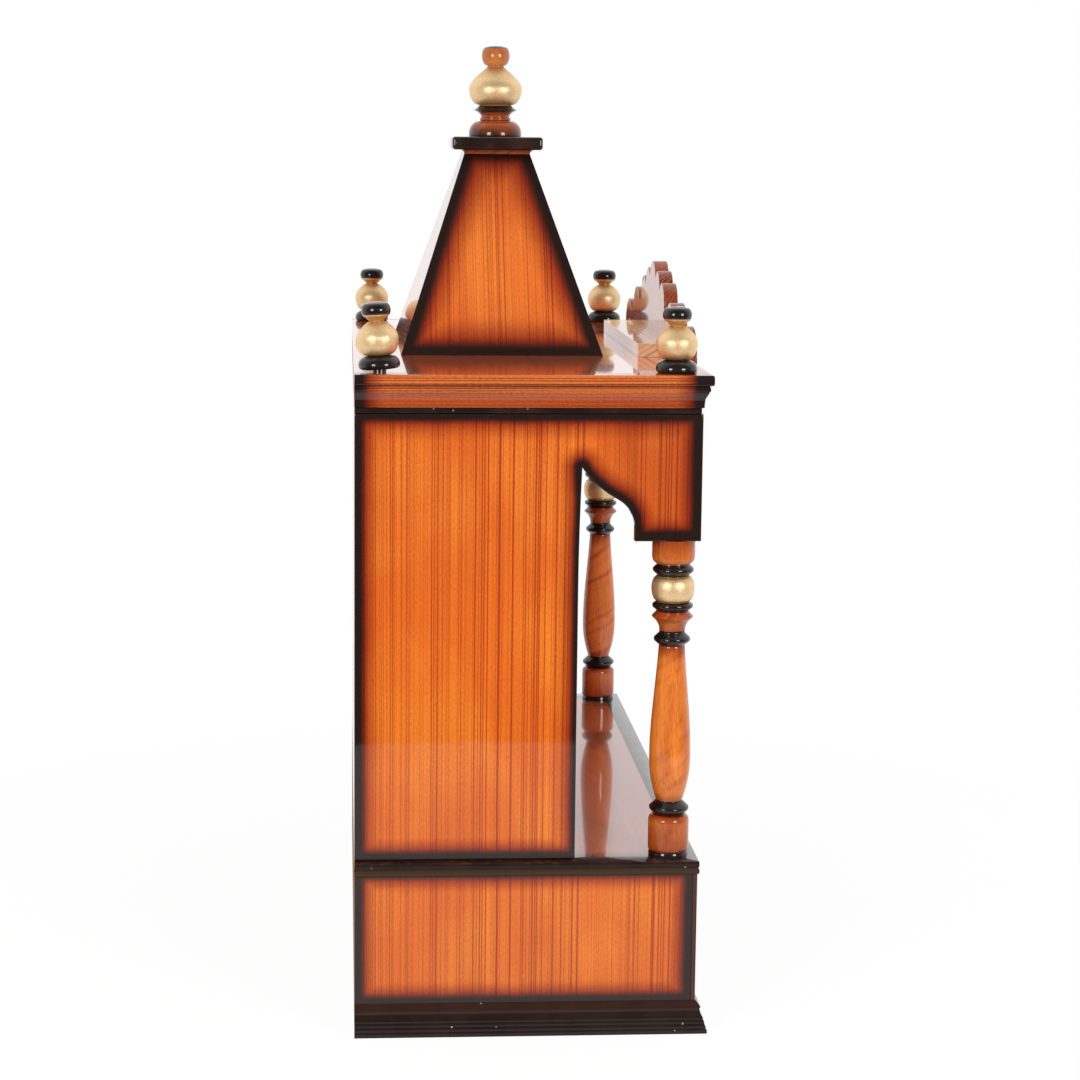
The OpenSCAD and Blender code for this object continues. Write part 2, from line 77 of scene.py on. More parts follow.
class TempleColours(bpy.types.PropertyGroup):
    """Colours of the finishes."""

    veneer_light: colour("Veneer", "Teak veneer between the dark lines", (0.87, 0.176, 0.014))
    veneer_gold: colour("Golden veneer", "Lighter patches of the teak veneer", (0.96, 0.245, 0.022))
    veneer_dark: colour("Veneer lines", "Dark lines and pores of the teak veneer", (0.45, 0.050, 0.005))
    stain: colour("Border stain", "Red-brown stain beside the black borders", (0.42, 0.17, 0.11))
    black: colour("Black lacquer", "Black lacquer of the sprayed borders", (0.015, 0.0044, 0.0020))
    ring_black: colour("Ring black", "Black paint of the turned rings and feet", (0.009, 0.0060, 0.0055))
    black_brown: colour("Brown-black", "Lacquer of plinth, deck edge, neck and cap", (0.013, 0.0065, 0.0045))
    bead_brown: colour("Bead brown", "Rubbed brown lacquer of the deck's bead", (0.055, 0.028, 0.013))
    brown: colour("Brown lacquer", "Brown lacquer of the deck", (0.470, 0.105, 0.045))
    dark_brown: colour("Top board lacquer", "Red-brown lacquer of the top board", (0.780, 0.155, 0.045))
    moulding_light: colour("Moulding", "Light grain of cornice and crest", (0.78, 0.180, 0.036))
    moulding_dark: colour("Moulding grain", "Dark grain of cornice and crest", (0.11, 0.015, 0.005))
    cove_light: colour("Cove", "Light grain of the cove under the cap plate", (0.30, 0.075, 0.030))
    strip_light: colour("Backing strip", "Light grain of the strip behind the crest", (1.00, 0.600, 0.340))
    turned_light: colour("Turned wood", "Light grain of the near column", (0.96, 0.262, 0.036))
    turned_dark: colour("Turned grain", "Dark grain of the near column", (0.42, 0.065, 0.008))
    redwood_light: colour("Red wood", "Light grain of the redder column", (1.00, 0.260, 0.060))
    redwood_dark: colour("Red wood grain", "Dark grain of the redder column", (0.60, 0.112, 0.027))
    foot_light: colour("Finial foot", "Light grain of the central finial", (0.80, 0.290, 0.075))
    gold: colour("Gold paint", "Gold paint of the turned beads", (0.97, 0.71, 0.40))
    board: colour("Plain board", "Unlacquered boards at the back and below", (0.44, 0.22, 0.100))


class TempleSizes(bpy.types.PropertyGroup):
    """Sizes of the finish."""

    ease: length("Eased edge", "Rounding of the boards' edges", 0.0010)
    border: length("Border width", "Width of the sprayed black borders", 0.0085)
    fade: length("Border fade", "Width over which a border fades out", 0.0068)
    line_spacing: length("Line spacing", "Mean distance between the veneer's dark lines", 0.0105)


class TempleStage(bpy.types.PropertyGroup):
    """Lamps and camera."""

    lamp_power: scalar("Lamp power", "Power of each of the two soft lamps", 16.0, unit="POWER")
    lamp_size: length("Lamp size", "Edge of each square soft lamp", 0.55)
    lamp_distance: length("Lamp distance", "Distance of the lamps from the temple", 2.1)
    world_level: scalar("World level", "Strength of the white surroundings on matt surfaces", 0.55)
    dim_level: scalar("Dim side", "Strength that gloss mirrors from the dim left of the room", 0.10)
    floor_radius: length("Floor radius", "Radius of the pale floor disc", 1.41)


PROPERTY_GROUPS = (TempleColours, TempleSizes, TempleStage)


def colours():
    return bpy.context.scene.temple_colours


def sizes():
    return bpy.context.scene.temple_sizes


def rgba(value):
    return (*value, 1.0)


# ---- Shader nodes ---------------------------------------------------------------------

WHITE = (1.0, 1.0, 1.0, 1.0)
BLACK = (0.0, 0.0, 0.0, 1.0)


class Graph:
    """Adds and links shader nodes in one node tree."""

    def __init__(self, tree):
        self.tree = tree

    def node(self, kind, **settings):
        made = self.tree.nodes.new(kind)
        for key, value in settings.items():
            setattr(made, key, value)
        return made

    def feed(self, socket, value):
        if isinstance(value, bpy.types.NodeSocket):
            self.tree.links.new(value, socket)
        else:
            socket.default_value = value

    def math(self, operation, *values, clamp=False):
        made = self.node("ShaderNodeMath", operation=operation, use_clamp=clamp)
        for socket, value in zip(made.inputs, values):
            self.feed(socket, value)
        return made.outputs[0]

    def times(self, a, b, clamp=False):
        return self.math("MULTIPLY", a, b, clamp=clamp)

    def plus(self, a, b):
        return self.math("ADD", a, b)

    def minus(self, a, b):
        return self.math("SUBTRACT", a, b)

    def times_plus(self, a, b, c, clamp=False):
        """a times b, plus c."""
        return self.math("MULTIPLY_ADD", a, b, c, clamp=clamp)

    def inverse(self, value):
        """One minus the value."""
        return self.minus(1.0, value)

    def smooth(self, value, low, high):
        """0 below low, 1 above high, and a smooth step between them."""
        made = self.node("ShaderNodeMapRange", interpolation_type="SMOOTHSTEP")
        self.feed(made.inputs["Value"], value)
        self.feed(made.inputs["From Min"], low)
        self.feed(made.inputs["From Max"], high)
        return made.outputs["Result"]

    def mix(self, share, a, b, blend="MIX"):
        made = self.node("ShaderNodeMix", data_type="RGBA", blend_type=blend)
        for index, value in ((0, share), (6, a), (7, b)):
            self.feed(made.inputs[index], value)
        return made.outputs[2]

    def vector(self, x, y, z):
        made = self.node("ShaderNodeCombineXYZ")
        for socket, value in zip(made.inputs, (x, y, z)):
            self.feed(socket, value)
        return made.outputs[0]

    def noise(self, vector, scale=1.0, detail=2.0, roughness=0.5):
        made = self.node("ShaderNodeTexNoise")
        self.feed(made.inputs["Vector"], vector)
        made.inputs["Scale"].default_value = scale
        made.inputs["Detail"].default_value = detail
        made.inputs["Roughness"].default_value = roughness
        return made.outputs["Fac"]

    def grain_noise(self, parts, scales, detail=2.0, roughness=0.5):
        """Noise over three coordinates, each with its own scale; None leaves one as it is."""
        scaled = [part if scale is None else self.times(part, scale) for part, scale in zip(parts, scales)]
        return self.noise(self.vector(*scaled), 1.0, detail, roughness)

    def tinted(self, base, tint, share=1.0):
        """A colour that is multiplied by a tint, in full or where the share is 1."""
        deep = self.mix(1.0, base, tint, "MULTIPLY")
        return deep if share == 1.0 else self.mix(share, base, deep)

    def cells(self, dimensions, coordinate, value, scale):
        """Random cells: the distance from a cell's centre, and two random values of it."""
        made = self.node("ShaderNodeTexVoronoi", voronoi_dimensions=dimensions, feature="F1")
        self.feed(made.inputs[coordinate], value)
        made.inputs["Scale"].default_value = scale
        made.inputs["Randomness"].default_value = 1.0
        pick = self.node("ShaderNodeSeparateColor")
        self.feed(pick.inputs[0], made.outputs["Color"])
        return made.outputs["Distance"], pick.outputs[0], pick.outputs[1]

    def parts_of(self, vector):
        made = self.node("ShaderNodeSeparateXYZ")
        self.feed(made.inputs[0], vector)
        return list(made.outputs)

    def place(self):
        """Position in the row frame, in metres, as a vector and as its three parts."""
        where = self.node("ShaderNodeTexCoord").outputs["Object"]
        return where, self.parts_of(where)

    def attribute(self, name):
        return self.node("ShaderNodeAttribute", attribute_name=name).outputs["Fac"]

    def use(self, group_tree, **values):
        """Place a node group; a keyword names an input with _ for each space."""
        made = self.node("ShaderNodeGroup", node_tree=group_tree)
        for key, value in values.items():
            self.feed(made.inputs[socket_name(key)], value)
        return made.outputs


def socket_name(key):
    return key.replace("_", " ").title()


def new_group(name, outputs, **inputs):
    """A shader node group. A keyword names an input with _ for each space; its value
    tells the kind: a tuple for a colour, a number for a value, None for a vector."""
    tree = bpy.data.node_groups.new(name, "ShaderNodeTree")
    for key, value in inputs.items():
        kind = "Vector" if value is None else "Color" if isinstance(value, tuple) else "Float"
        socket = tree.interface.new_socket(socket_name(key), in_out="INPUT", socket_type="NodeSocket" + kind)
        if value is not None:
            socket.default_value = value
    for label in outputs:
        kind = "Color" if label == "Color" else "Float"
        tree.interface.new_socket(label, in_out="OUTPUT", socket_type="NodeSocket" + kind)
    graph = Graph(tree)
    return graph, graph.node("NodeGroupInput").outputs, graph.node("NodeGroupOutput").inputs


# Line sets of the veneer: how many lines to a spacing, half width and half gap of a pair
# in cells, strength
VENEER_LINES = ((0.9, 0.075, 0.090, 1.00), (1.9, 0.21, 0.0, 0.95), (4.3, 0.32, 0.0, 0.65))


def straight_grain_group():
    """Quarter-cut veneer: straight dark lines of uneven spacing, and short pores."""
    g, given, result = new_group(
        "Straight Grain", ("Color", "Height"), across=0.0, along=0.0, light=WHITE, gold=WHITE, dark=BLACK,
        spacing=0.01, lines=1.0, pores=1.0, seed=0.0
    )
    along, seed = given["Along"], given["Seed"]
    drift = g.grain_noise((given["Across"], along, seed), (6.0, 3.0, None))
    across = g.times_plus(g.minus(drift, 0.5), 0.0020, given["Across"])
    cells = g.math("DIVIDE", across, given["Spacing"])
    dark = 0.0
    for number, (density, width, apart, strength) in enumerate(VENEER_LINES):
        count = g.times_plus(cells, density, g.plus(seed, 7.3 * number))
        distance, chance, size = g.cells("1D", "W", count, 1.0)
        half = g.times(g.plus(size, 0.4), width)
        aside = g.math("ABSOLUTE", g.minus(distance, apart))
        core = g.inverse(g.smooth(aside, 0.0, half))
        weight = g.times(g.smooth(chance, 0.25, 0.95), strength)
        dark = g.plus(g.times(core, weight), dark)
    lines_dark = g.times(dark, given["Lines"])

    def figure(across_scale, along_scale, detail, roughness=0.5):
        return g.grain_noise((across, along, seed), (across_scale, along_scale, None), detail, roughness)

    band = g.grain_noise((cells, 0.0, seed), (0.45, None, None), 1.0)
    streak = figure(480.0, 3.0, 3.0, 0.65)
    mottle = figure(900.0, 330.0, 1.5, 0.6)
    tick = figure(1150.0, 200.0, 1.5)
    pores = g.times(g.smooth(tick, 0.55, 0.74), given["Pores"])
    shade = g.times_plus(g.minus(band, 0.25), 0.70, lines_dark)
    shade = g.times_plus(g.minus(streak, 0.5), 1.00, shade)
    shade = g.times_plus(g.minus(mottle, 0.5), 0.85, shade)
    shade = g.times_plus(pores, 0.14, shade, clamp=True)
    cloud = figure(16.0, 9.0, 2.0)
    lit = g.mix(g.smooth(cloud, 0.38, 0.66), given["Light"], given["Gold"])
    g.feed(result["Color"], g.mix(shade, lit, given["Dark"]))
    g.feed(result["Height"], g.times(g.times_plus(mottle, 0.7, pores), -1.0))
    return g.tree


def solid_grain_group():
    """Solid timber: streaks that run along Z through the whole piece, and pores."""
    g, given, result = new_group(
        "Solid Grain", ("Color", "Height"), place=None, light=WHITE, dark=BLACK, figure=1.0, curl=0.0,
        pores=1.0, seed=0.0
    )
    x, y, z = g.parts_of(given["Place"])
    seed = given["Seed"]
    bend = g.grain_noise((x, y, z), (9.0, 9.0, 7.0))
    ring_x = g.plus(g.times_plus(bend, 0.030, x), g.times(seed, 0.013))
    rings = g.grain_noise((ring_x, y, seed), (210.0, 60.0, None))
    cloud = g.grain_noise((x, y, z), (45.0, 45.0, 16.0))
    tick = g.grain_noise((x, y, z), (620.0, 620.0, 150.0))
    pores = g.times(g.smooth(tick, 0.50, 0.70), given["Pores"])
    fibre = g.grain_noise((x, y, z), (700.0, 700.0, 45.0))
    shade = g.times(g.minus(g.times_plus(cloud, 1.6, rings), 1.15), given["Figure"])
    shade = g.times_plus(g.minus(fibre, 0.42), 0.90, shade)
    slanted = g.plus(g.times_plus(y, 0.7, z), g.times(bend, 0.05))
    bands = g.grain_noise((slanted, x, seed), (95.0, 14.0, None), 1.0)
    shade = g.times_plus(g.smooth(bands, 0.48, 0.70), given["Curl"], shade)
    shade = g.times_plus(pores, 0.22, shade, clamp=True)
    g.feed(result["Color"], g.mix(shade, given["Light"], given["Dark"]))
    g.feed(result["Height"], g.times(pores, -1.0))
    return g.tree


def shaded_border_group():
    """Sprayed border: black up to its width, then a red-brown haze that fades out."""
    g, given, result = new_group(
        "Shaded Border", ("Color", "Mask"), color=WHITE, place=None, distance=1.0, border=0.008, fade=0.006,
        stain=WHITE, black=BLACK
    )
    wobble = g.noise(given["Place"], 24.0, 3.0)
    near = g.times_plus(g.minus(wobble, 0.5), 0.0026, given["Distance"])
    mist = g.noise(given["Place"], 1400.0, 1.0)
    near = g.times_plus(g.minus(mist, 0.5), 0.0012, near)
    dark_start = g.times_plus(given["Fade"], -0.35, given["Border"])
    dark_end = g.times_plus(given["Fade"], 0.65, given["Border"])
    stain_end = g.times_plus(given["Fade"], 2.3, given["Border"])
    black = g.inverse(g.smooth(near, dark_start, dark_end))
    haze = g.inverse(g.smooth(near, given["Border"], stain_end))
    stained = g.tinted(given["Color"], given["Stain"], haze)
    g.feed(result["Color"], g.mix(black, stained, given["Black"]))
    g.feed(result["Mask"], black)
    return g.tree


def board_distance_group():
    """Distance from the nearest edge of a board whose width may taper with height."""
    g, given, result = new_group(
        "Board Distance", ("Distance",), across=0.0, height=0.0, centre=0.0, half_at_foot=1.0,
        half_at_top=1.0, foot=0.0, top=1.0, round=0.006
    )
    rise = g.minus(given["Height"], given["Foot"])
    share = g.math("DIVIDE", rise, g.minus(given["Top"], given["Foot"]))
    taper = g.minus(given["Half At Top"], given["Half At Foot"])
    half = g.times_plus(share, taper, given["Half At Foot"])
    aside = g.math("ABSOLUTE", g.minus(given["Across"], given["Centre"]))
    ends = g.math("MINIMUM", rise, g.minus(given["Top"], given["Height"]))
    g.feed(result["Distance"], g.math("SMOOTH_MIN", g.minus(half, aside), ends, given["Round"]))
    return g.tree


# Tints of the gold paint where it is speckled or worn, and of painted shade on the gold beside its rims
GOLD_SHADE = (0.66, 0.50, 0.30, 1.0)
GOLD_RIM_PAINTED_SHADE = (0.52, 0.33, 0.14, 1.0)


def painted_turning_group():
    """Black and gold paint over turned wood, with worn and speckled gold, and painted shade on the gold near
    its rims.
    """
    g, given, result = new_group(
        "Painted Turning", ("Color", "Metallic", "Roughness", "Coat", "Height"), wood=WHITE, place=None,
        black_paint=0.0, gold_paint=0.0, gold_rim=0.0, dark_stain=0.0, stain=WHITE, black=BLACK, gold=WHITE
    )
    speckle = g.noise(given["Place"], 900.0, 3.0, 0.7)
    patch = g.noise(given["Place"], 70.0, 3.0)
    worn = g.times(g.smooth(patch, 0.56, 0.78), g.smooth(speckle, 0.45, 0.62))
    gold_dark = g.tinted(given["Gold"], GOLD_SHADE)
    gold = g.mix(g.times(g.smooth(speckle, 0.42, 0.70), 0.45), given["Gold"], gold_dark)
    gold = g.mix(g.times(worn, 0.55), gold, gold_dark)
    # Painted shade: the gold darkens near the top and bottom of each gold bulb, broken up by the speckle
    rim_shading = g.times(given["Gold Rim"], g.times_plus(speckle, 1.1, 0.20), clamp=True)
    gold = g.mix(rim_shading, gold, g.tinted(given["Gold"], GOLD_RIM_PAINTED_SHADE))
    smear = g.times(g.minus(patch, 0.5), 0.30)
    black_mask = g.smooth(g.plus(given["Black Paint"], smear), 0.38, 0.72)
    gold_mask = g.smooth(g.plus(given["Gold Paint"], g.times(smear, 0.5)), 0.45, 0.60)
    stained = g.tinted(given["Wood"], given["Stain"], given["Dark Stain"])
    coloured = g.mix(gold_mask, g.mix(black_mask, stained, given["Black"]), gold)
    g.feed(result["Color"], coloured)
    g.feed(result["Metallic"], g.times(gold_mask, 0.80))
    rough = g.times_plus(speckle, 0.16, 0.30)
    g.feed(result["Roughness"], g.times_plus(gold_mask, 0.07, rough))
    g.feed(result["Coat"], g.times_plus(gold_mask, -0.85, 1.0))
    g.feed(result["Height"], g.times(g.times(speckle, gold_mask), 0.6))
    return g.tree


# Colour of the light specks in the lacquer: partly dust grains, partly painted glints
DUST_AND_GLINT = (0.75, 0.66, 0.60, 1.0)


def lacquer_dust_and_glint_group():
    """Gloss lacquer: faint brush drag, fine dust and painted glints as light specks, and an uneven matt haze.
    """
    g, given, result = new_group(
        "Lacquer Dust And Glints", ("Color", "Roughness", "Height"), color=WHITE, rub=WHITE, place=None, wear=0.3,
        specks=0.3
    )
    patch = g.noise(given["Place"], 38.0, 4.0)
    fine = g.noise(given["Place"], 650.0, 2.0)
    rub = g.times(g.smooth(g.times_plus(fine, 0.35, patch), 0.52, 0.90), given["Wear"])
    # The light specks are partly dust and partly painted glints
    distance, chance, share = g.cells("3D", "Vector", given["Place"], 110.0)
    size = g.times(share, 0.13)
    dust = g.inverse(g.smooth(distance, g.times(size, 0.5), size))
    dust = g.times(g.times(dust, g.smooth(chance, 0.45, 0.60)), given["Specks"])
    toned = g.mix(rub, given["Color"], given["Rub"])
    g.feed(result["Color"], g.mix(dust, toned, DUST_AND_GLINT))
    g.feed(result["Roughness"], g.times_plus(patch, 0.20, 0.22))
    g.feed(result["Height"], g.times_plus(fine, 0.4, dust))
    return g.tree


GROUP_MAKERS = {
    "Straight Grain": straight_grain_group,
    "Solid Grain": solid_grain_group,
    "Shaded Border": shaded_border_group,
    "Board Distance": board_distance_group,
    "Painted Turning": painted_turning_group,
    "Lacquer Dust And Glints": lacquer_dust_and_glint_group,
}


def shared(name):
    """A shared node group, built the first time that it is asked for."""
    return bpy.data.node_groups.get(name) or GROUP_MAKERS[name]()


CLEAR_COAT = {
    "IOR": 1.5,
    "Specular IOR Level": 0.1,
    "Coat Weight": 1.0,
    "Coat Roughness": 0.035,
    "Coat IOR": 1.45,
}
# Tints of bare wood at a board's ends, of the painted shade low on a moulding under its lip, and of the stain
# on turned wood
BARE_TINT = (0.15, 0.18, 0.50, 1.0)
PAINTED_SHADE_TINT = (0.70, 0.50, 0.42, 1.0)
TURNED_STAIN = (0.42, 0.24, 0.20, 1.0)
# Width over which veneer turns into a board's bare end
BARE_FADE = 0.0004
# Fade of the black ends of mouldings, and the spacing of their grain
MOULDING_FADE = 0.0085
MOULDING_SPACING = 0.0052
# Ends of a moulding that lie so far off that it gets no black ends
NO_ENDS = (-1.0, 2.0)


def new_material(name):
    """A material with a glossy clear coat; returns it, its graph and its shader."""
    material = bpy.data.materials.new(name)
    material.use_nodes = True
    material.node_tree.nodes.clear()
    graph = Graph(material.node_tree)
    shader = graph.node("ShaderNodeBsdfPrincipled")
    for key, value in CLEAR_COAT.items():
        shader.inputs[key].default_value = value
    graph.feed(graph.node("ShaderNodeOutputMaterial").inputs["Surface"], shader.outputs[0])
    return material, graph, shader


def finish_shader(graph, shader, base, height, *, roughness, depth):
    """Feed a material's colour and roughness, and a bump of a depth in metres."""
    graph.feed(shader.inputs["Base Color"], base)
    graph.feed(shader.inputs["Roughness"], roughness)
    node = graph.node("ShaderNodeBump")
    node.inputs["Strength"].default_value = 1.0
    node.inputs["Distance"].default_value = depth
    graph.feed(node.inputs["Height"], height)
    graph.feed(shader.inputs["Normal"], node.outputs["Normal"])


def straight_grain(graph, across, along, light, gold, dark, **settings):
    """The veneer's grain along one direction, between three colours."""
    return graph.use(
        shared("Straight Grain"), across=across, along=along, light=rgba(light), gold=rgba(gold),
        dark=rgba(dark), **settings
    )


def scaled(value, factor):
    return [factor * part for part in value]


def border_over(graph, base, where, distance, border=None, fade=None):
    """The colour under a sprayed black border."""
    return graph.use(
        shared("Shaded Border"), color=base, place=where, distance=distance, border=border or sizes().border,
        fade=fade or sizes().fade, stain=rgba(colours().stain), black=rgba(colours().black)
    )["Color"]


def edge_lines(low, high, foot, top, widths, top_low=None, top_high=None):
    """Values of Board Distance for a board between two sides, a foot and a top. Each line
    is moved so that its border gets its own width: low side, high side, foot, top. A
    leaning board has other sides at its top."""
    move = [sizes().border - width for width in widths]
    top_low = low if top_low is None else top_low
    top_high = high if top_high is None else top_high
    return {
        "centre": (low - move[0] + high + move[1]) / 2,
        "half_at_foot": (high + move[1] - low + move[0]) / 2,
        "half_at_top": (top_high + move[1] - top_low + move[0]) / 2,
        "foot": foot - move[2],
        "top": top + move[3],
    }


def veneer_material(name, across_axis, edge, *, seed, fade=None, tints=(), bare_behind=None, lines=1.0):
    """Veneer with vertical lines. edge is "attribute", or the values of Board Distance.
    Each tint is an axis, the places where it starts and is full, and its colour. The
    board's ends are bare red-brown wood behind the place bare_behind along Y."""
    material, g, shader = new_material(name)
    where, axes = g.place()
    c = colours()
    grain = straight_grain(
        g, axes[across_axis], axes[Z], c.veneer_light, c.veneer_gold, c.veneer_dark,
        spacing=sizes().line_spacing, lines=lines, seed=seed
    )
    if edge == "attribute":
        distance = g.attribute("edge")
    else:
        distance = g.use(
            shared("Board Distance"), across=axes[across_axis], height=axes[Z], **edge
        )["Distance"]
    toned = grain["Color"]
    for axis, start, full, tint in tints:
        toned = g.tinted(toned, rgba(tint), g.smooth(axes[axis], start, full))
    toned = border_over(g, toned, where, distance, fade=fade)
    if bare_behind is not None:
        behind = g.smooth(axes[Y], bare_behind, bare_behind + BARE_FADE)
        toned = g.mix(behind, toned, g.tinted(grain["Color"], BARE_TINT))
    finish_shader(g, shader, toned, grain["Height"], roughness=0.42, depth=0.00010)
    return material


def moulding_material(
    name, along_axis, ends, *, seed, painted_shade_below=None, light=None, rim_tint=None, lines=1.05
):
    """Solid moulding with grain along it, black at both ends. Below the heights given for its shade it is
    darkened by painted shade under its lip, and on a board's rim it takes rim_tint, if they are given."""
    material, g, shader = new_material(name)
    where, axes = g.place()
    along = axes[along_axis]
    first, second = {X: (Z, Y), Y: (Z, X), Z: (X, Y)}[along_axis]
    across = g.plus(axes[first], g.times(axes[second], 0.6))
    light = light or colours().moulding_light
    dark = colours().moulding_dark
    grain = straight_grain(
        g, across, along, light, light, dark, spacing=MOULDING_SPACING, lines=lines, seed=seed
    )
    toned = grain["Color"]
    if painted_shade_below is not None:
        # Painted shade: darker below the given heights, under the moulding's lip
        toned = g.mix(g.smooth(axes[Z], *painted_shade_below), g.tinted(toned, PAINTED_SHADE_TINT), toned)
    if rim_tint is not None:
        inside = g.smooth(g.attribute("edge"), 0.0012, 0.004)
        toned = g.mix(inside, g.tinted(toned, rgba(rim_tint)), toned)
    distance = g.math("MINIMUM", g.minus(along, ends[0]), g.minus(ends[1], along))
    toned = border_over(g, toned, where, distance, fade=MOULDING_FADE)
    depth = 0.00012 if rim_tint is None else 0.00040
    finish_shader(g, shader, toned, grain["Height"], roughness=0.40, depth=depth)
    return material


def specked_lacquer(graph, where, base, *, rub, wear, specks):
    """Opaque gloss lacquer with a little of another tone rubbed through, and light specks of dust and painted
    glints.
    """
    return graph.use(
        shared("Lacquer Dust And Glints"), color=rgba(base), rub=rgba(rub), place=where, wear=wear, specks=specks
    )


def lacquer_material(name, base, **finish):
    """A board lacquered in one colour."""
    material, g, shader = new_material(name)
    where, _ = g.place()
    lacquer = specked_lacquer(g, where, base, **finish)
    roughness = lacquer["Roughness"]
    finish_shader(g, shader, lacquer["Color"], lacquer["Height"], roughness=roughness, depth=0.00006)
    return material


def plain_board_material(name, light):
    """Bare stained board with a quiet grain along X, without a clear coat."""
    material, g, shader = new_material(name)
    _, axes = g.place()
    grain = straight_grain(
        g, g.plus(axes[Z], axes[Y]), axes[X], light, scaled(light, 1.12), scaled(light, 0.50),
        spacing=0.014, lines=0.6, seed=27.0
    )
    shader.inputs["Coat Weight"].default_value = 0.0
    finish_shader(g, shader, grain["Color"], grain["Height"], roughness=0.65, depth=0.00010)
    return material


# Painted reflection in red-brown on the deck edge's top, and painted light in red-brown on the plinth's upper
# slope
PAINTED_EDGE_REFLECTION = (0.200, 0.065, 0.035, 1.0)
PAINTED_SLOPE_LIGHT = (0.060, 0.017, 0.010, 1.0)


def nosing_material(name, low, high, bead):
    """Black lacquer above a rubbed brown bead, with painted reflection in red-brown patches along its upper
    edge.
    """
    material, g, shader = new_material(name)
    where, axes = g.place()
    base = colours().black_brown
    lacquer = specked_lacquer(g, where, base, rub=(0.045, 0.017, 0.010), wear=0.5, specks=0.5)
    patch = g.noise(where, 120.0, 2.0)
    on_bead = g.inverse(g.smooth(axes[Z], low + bead, low + bead + 0.0006))
    # Painted reflection: red-brown patches along the top stand for the orange boards mirrored in the gloss
    edge_reflection = g.times(g.smooth(axes[Z], high - 0.0016, high - 0.0004), g.smooth(patch, 0.45, 0.70))
    toned = g.mix(on_bead, lacquer["Color"], rgba(colours().bead_brown))
    toned = g.mix(g.times(edge_reflection, 0.25), toned, PAINTED_EDGE_REFLECTION)
    # The flat top is smooth and glossy, the rest is lumpy and more matt
    on_top = g.smooth(axes[Z], high - 0.0006, high - 0.0001)
    g.feed(shader.inputs["Coat Weight"], g.times_plus(on_top, 0.70, 0.30))
    lumps = g.times(patch, g.times_plus(on_top, -3.8, 4.0))
    height = g.plus(lumps, lacquer["Height"])
    finish_shader(g, shader, toned, height, roughness=lacquer["Roughness"], depth=0.00012)
    return material


def plinth_material(name, low, high):
    """Brown-black lacquer with light specks, and painted light that makes the slope at the top redder."""
    material, g, shader = new_material(name)
    where, axes = g.place()
    base = colours().black_brown
    lacquer = specked_lacquer(g, where, base, rub=(0.030, 0.014, 0.010), wear=0.5, specks=0.9)
    # Painted light: the slope at the top, which faces up, is tinted red-brown as if lit
    slope = g.smooth(axes[Z], low + 0.55 * (high - low), low + 0.80 * (high - low))
    toned = g.mix(g.times(slope, 0.40), lacquer["Color"], PAINTED_SLOPE_LIGHT)
    shader.inputs["Coat Weight"].default_value = 0.50
    roughness = lacquer["Roughness"]
    finish_shader(g, shader, toned, lacquer["Height"], roughness=roughness, depth=0.00012)
    return material


def deck_material(name, base, box_low, box_high, *, border, front):
    """Brown gloss lacquer on a horizontal board, sprayed black along its sides and, as
    wide as front says, along its front."""
    material, g, shader = new_material(name)
    where, axes = g.place()
    grain = straight_grain(
        g, axes[Y], axes[X], base, scaled(base, 1.15), scaled(base, 0.45), spacing=0.016, lines=0.5,
        pores=0.6, seed=31.0
    )
    half = (box_high[X] - box_low[X]) / 2
    foot, top = box_low[Y] - (border - front), box_high[Y] + border * 4
    distance = g.use(
        shared("Board Distance"), across=axes[X], height=axes[Y], half_at_foot=half, half_at_top=half,
        foot=foot, top=top
    )["Distance"]
    shader.inputs["Specular IOR Level"].default_value = 0.5
    toned = border_over(g, grain["Color"], where, distance, border)
    finish_shader(g, shader, toned, grain["Height"], roughness=0.14, depth=0.00004)
    return material


def turned_material(name, light, dark, *, figure, seed, curl=0.0):
    """Turned wood with painted rings; the masks are attributes of the turned mesh."""
    material, g, shader = new_material(name)
    where, _ = g.place()
    grain = g.use(
        shared("Solid Grain"), place=where, light=rgba(light), dark=rgba(dark), figure=figure, curl=curl,
        seed=seed
    )
    # The rim attribute carries painted shade on the gold near its rims
    masks = {"black_paint": "black", "gold_paint": "gold", "gold_rim": "rim", "dark_stain": "stain"}
    painted = g.use(
        shared("Painted Turning"), wood=grain["Color"], place=where, stain=TURNED_STAIN,
        black=rgba(colours().ring_black), gold=rgba(colours().gold),
        **{key: g.attribute(mask) for key, mask in masks.items()}
    )
    g.feed(shader.inputs["Metallic"], painted["Metallic"])
    g.feed(shader.inputs["Coat Weight"], painted["Coat"])
    height = g.plus(grain["Height"], painted["Height"])
    finish_shader(g, shader, painted["Color"], height, roughness=painted["Roughness"], depth=0.00008)
    return material


# ---- Meshes ---------------------------------------------------------------------------

# Two places count as one within this distance, in metres
SAME_PLACE = 1e-6
# Rounding of a carried-over board's edges
BOARD_EASE = 0.0008
# An outline's turn that counts as a sharp corner, and the directions to each 60 degrees of it
SHARP_CORNER = math.radians(30)
FAN = 5
# A side longer than this gets points at these distances from both of its ends
LONG_SIDE = 0.045
STOPS = (0.003, 0.006, 0.009, 0.013, 0.018)
# Reach over which the borders of two neighbouring edges run into each other
BORDER_BLEND = 0.005
RINGS = 10


def set_material(piece, material):
    piece.data.materials.clear()
    piece.data.materials.append(material)


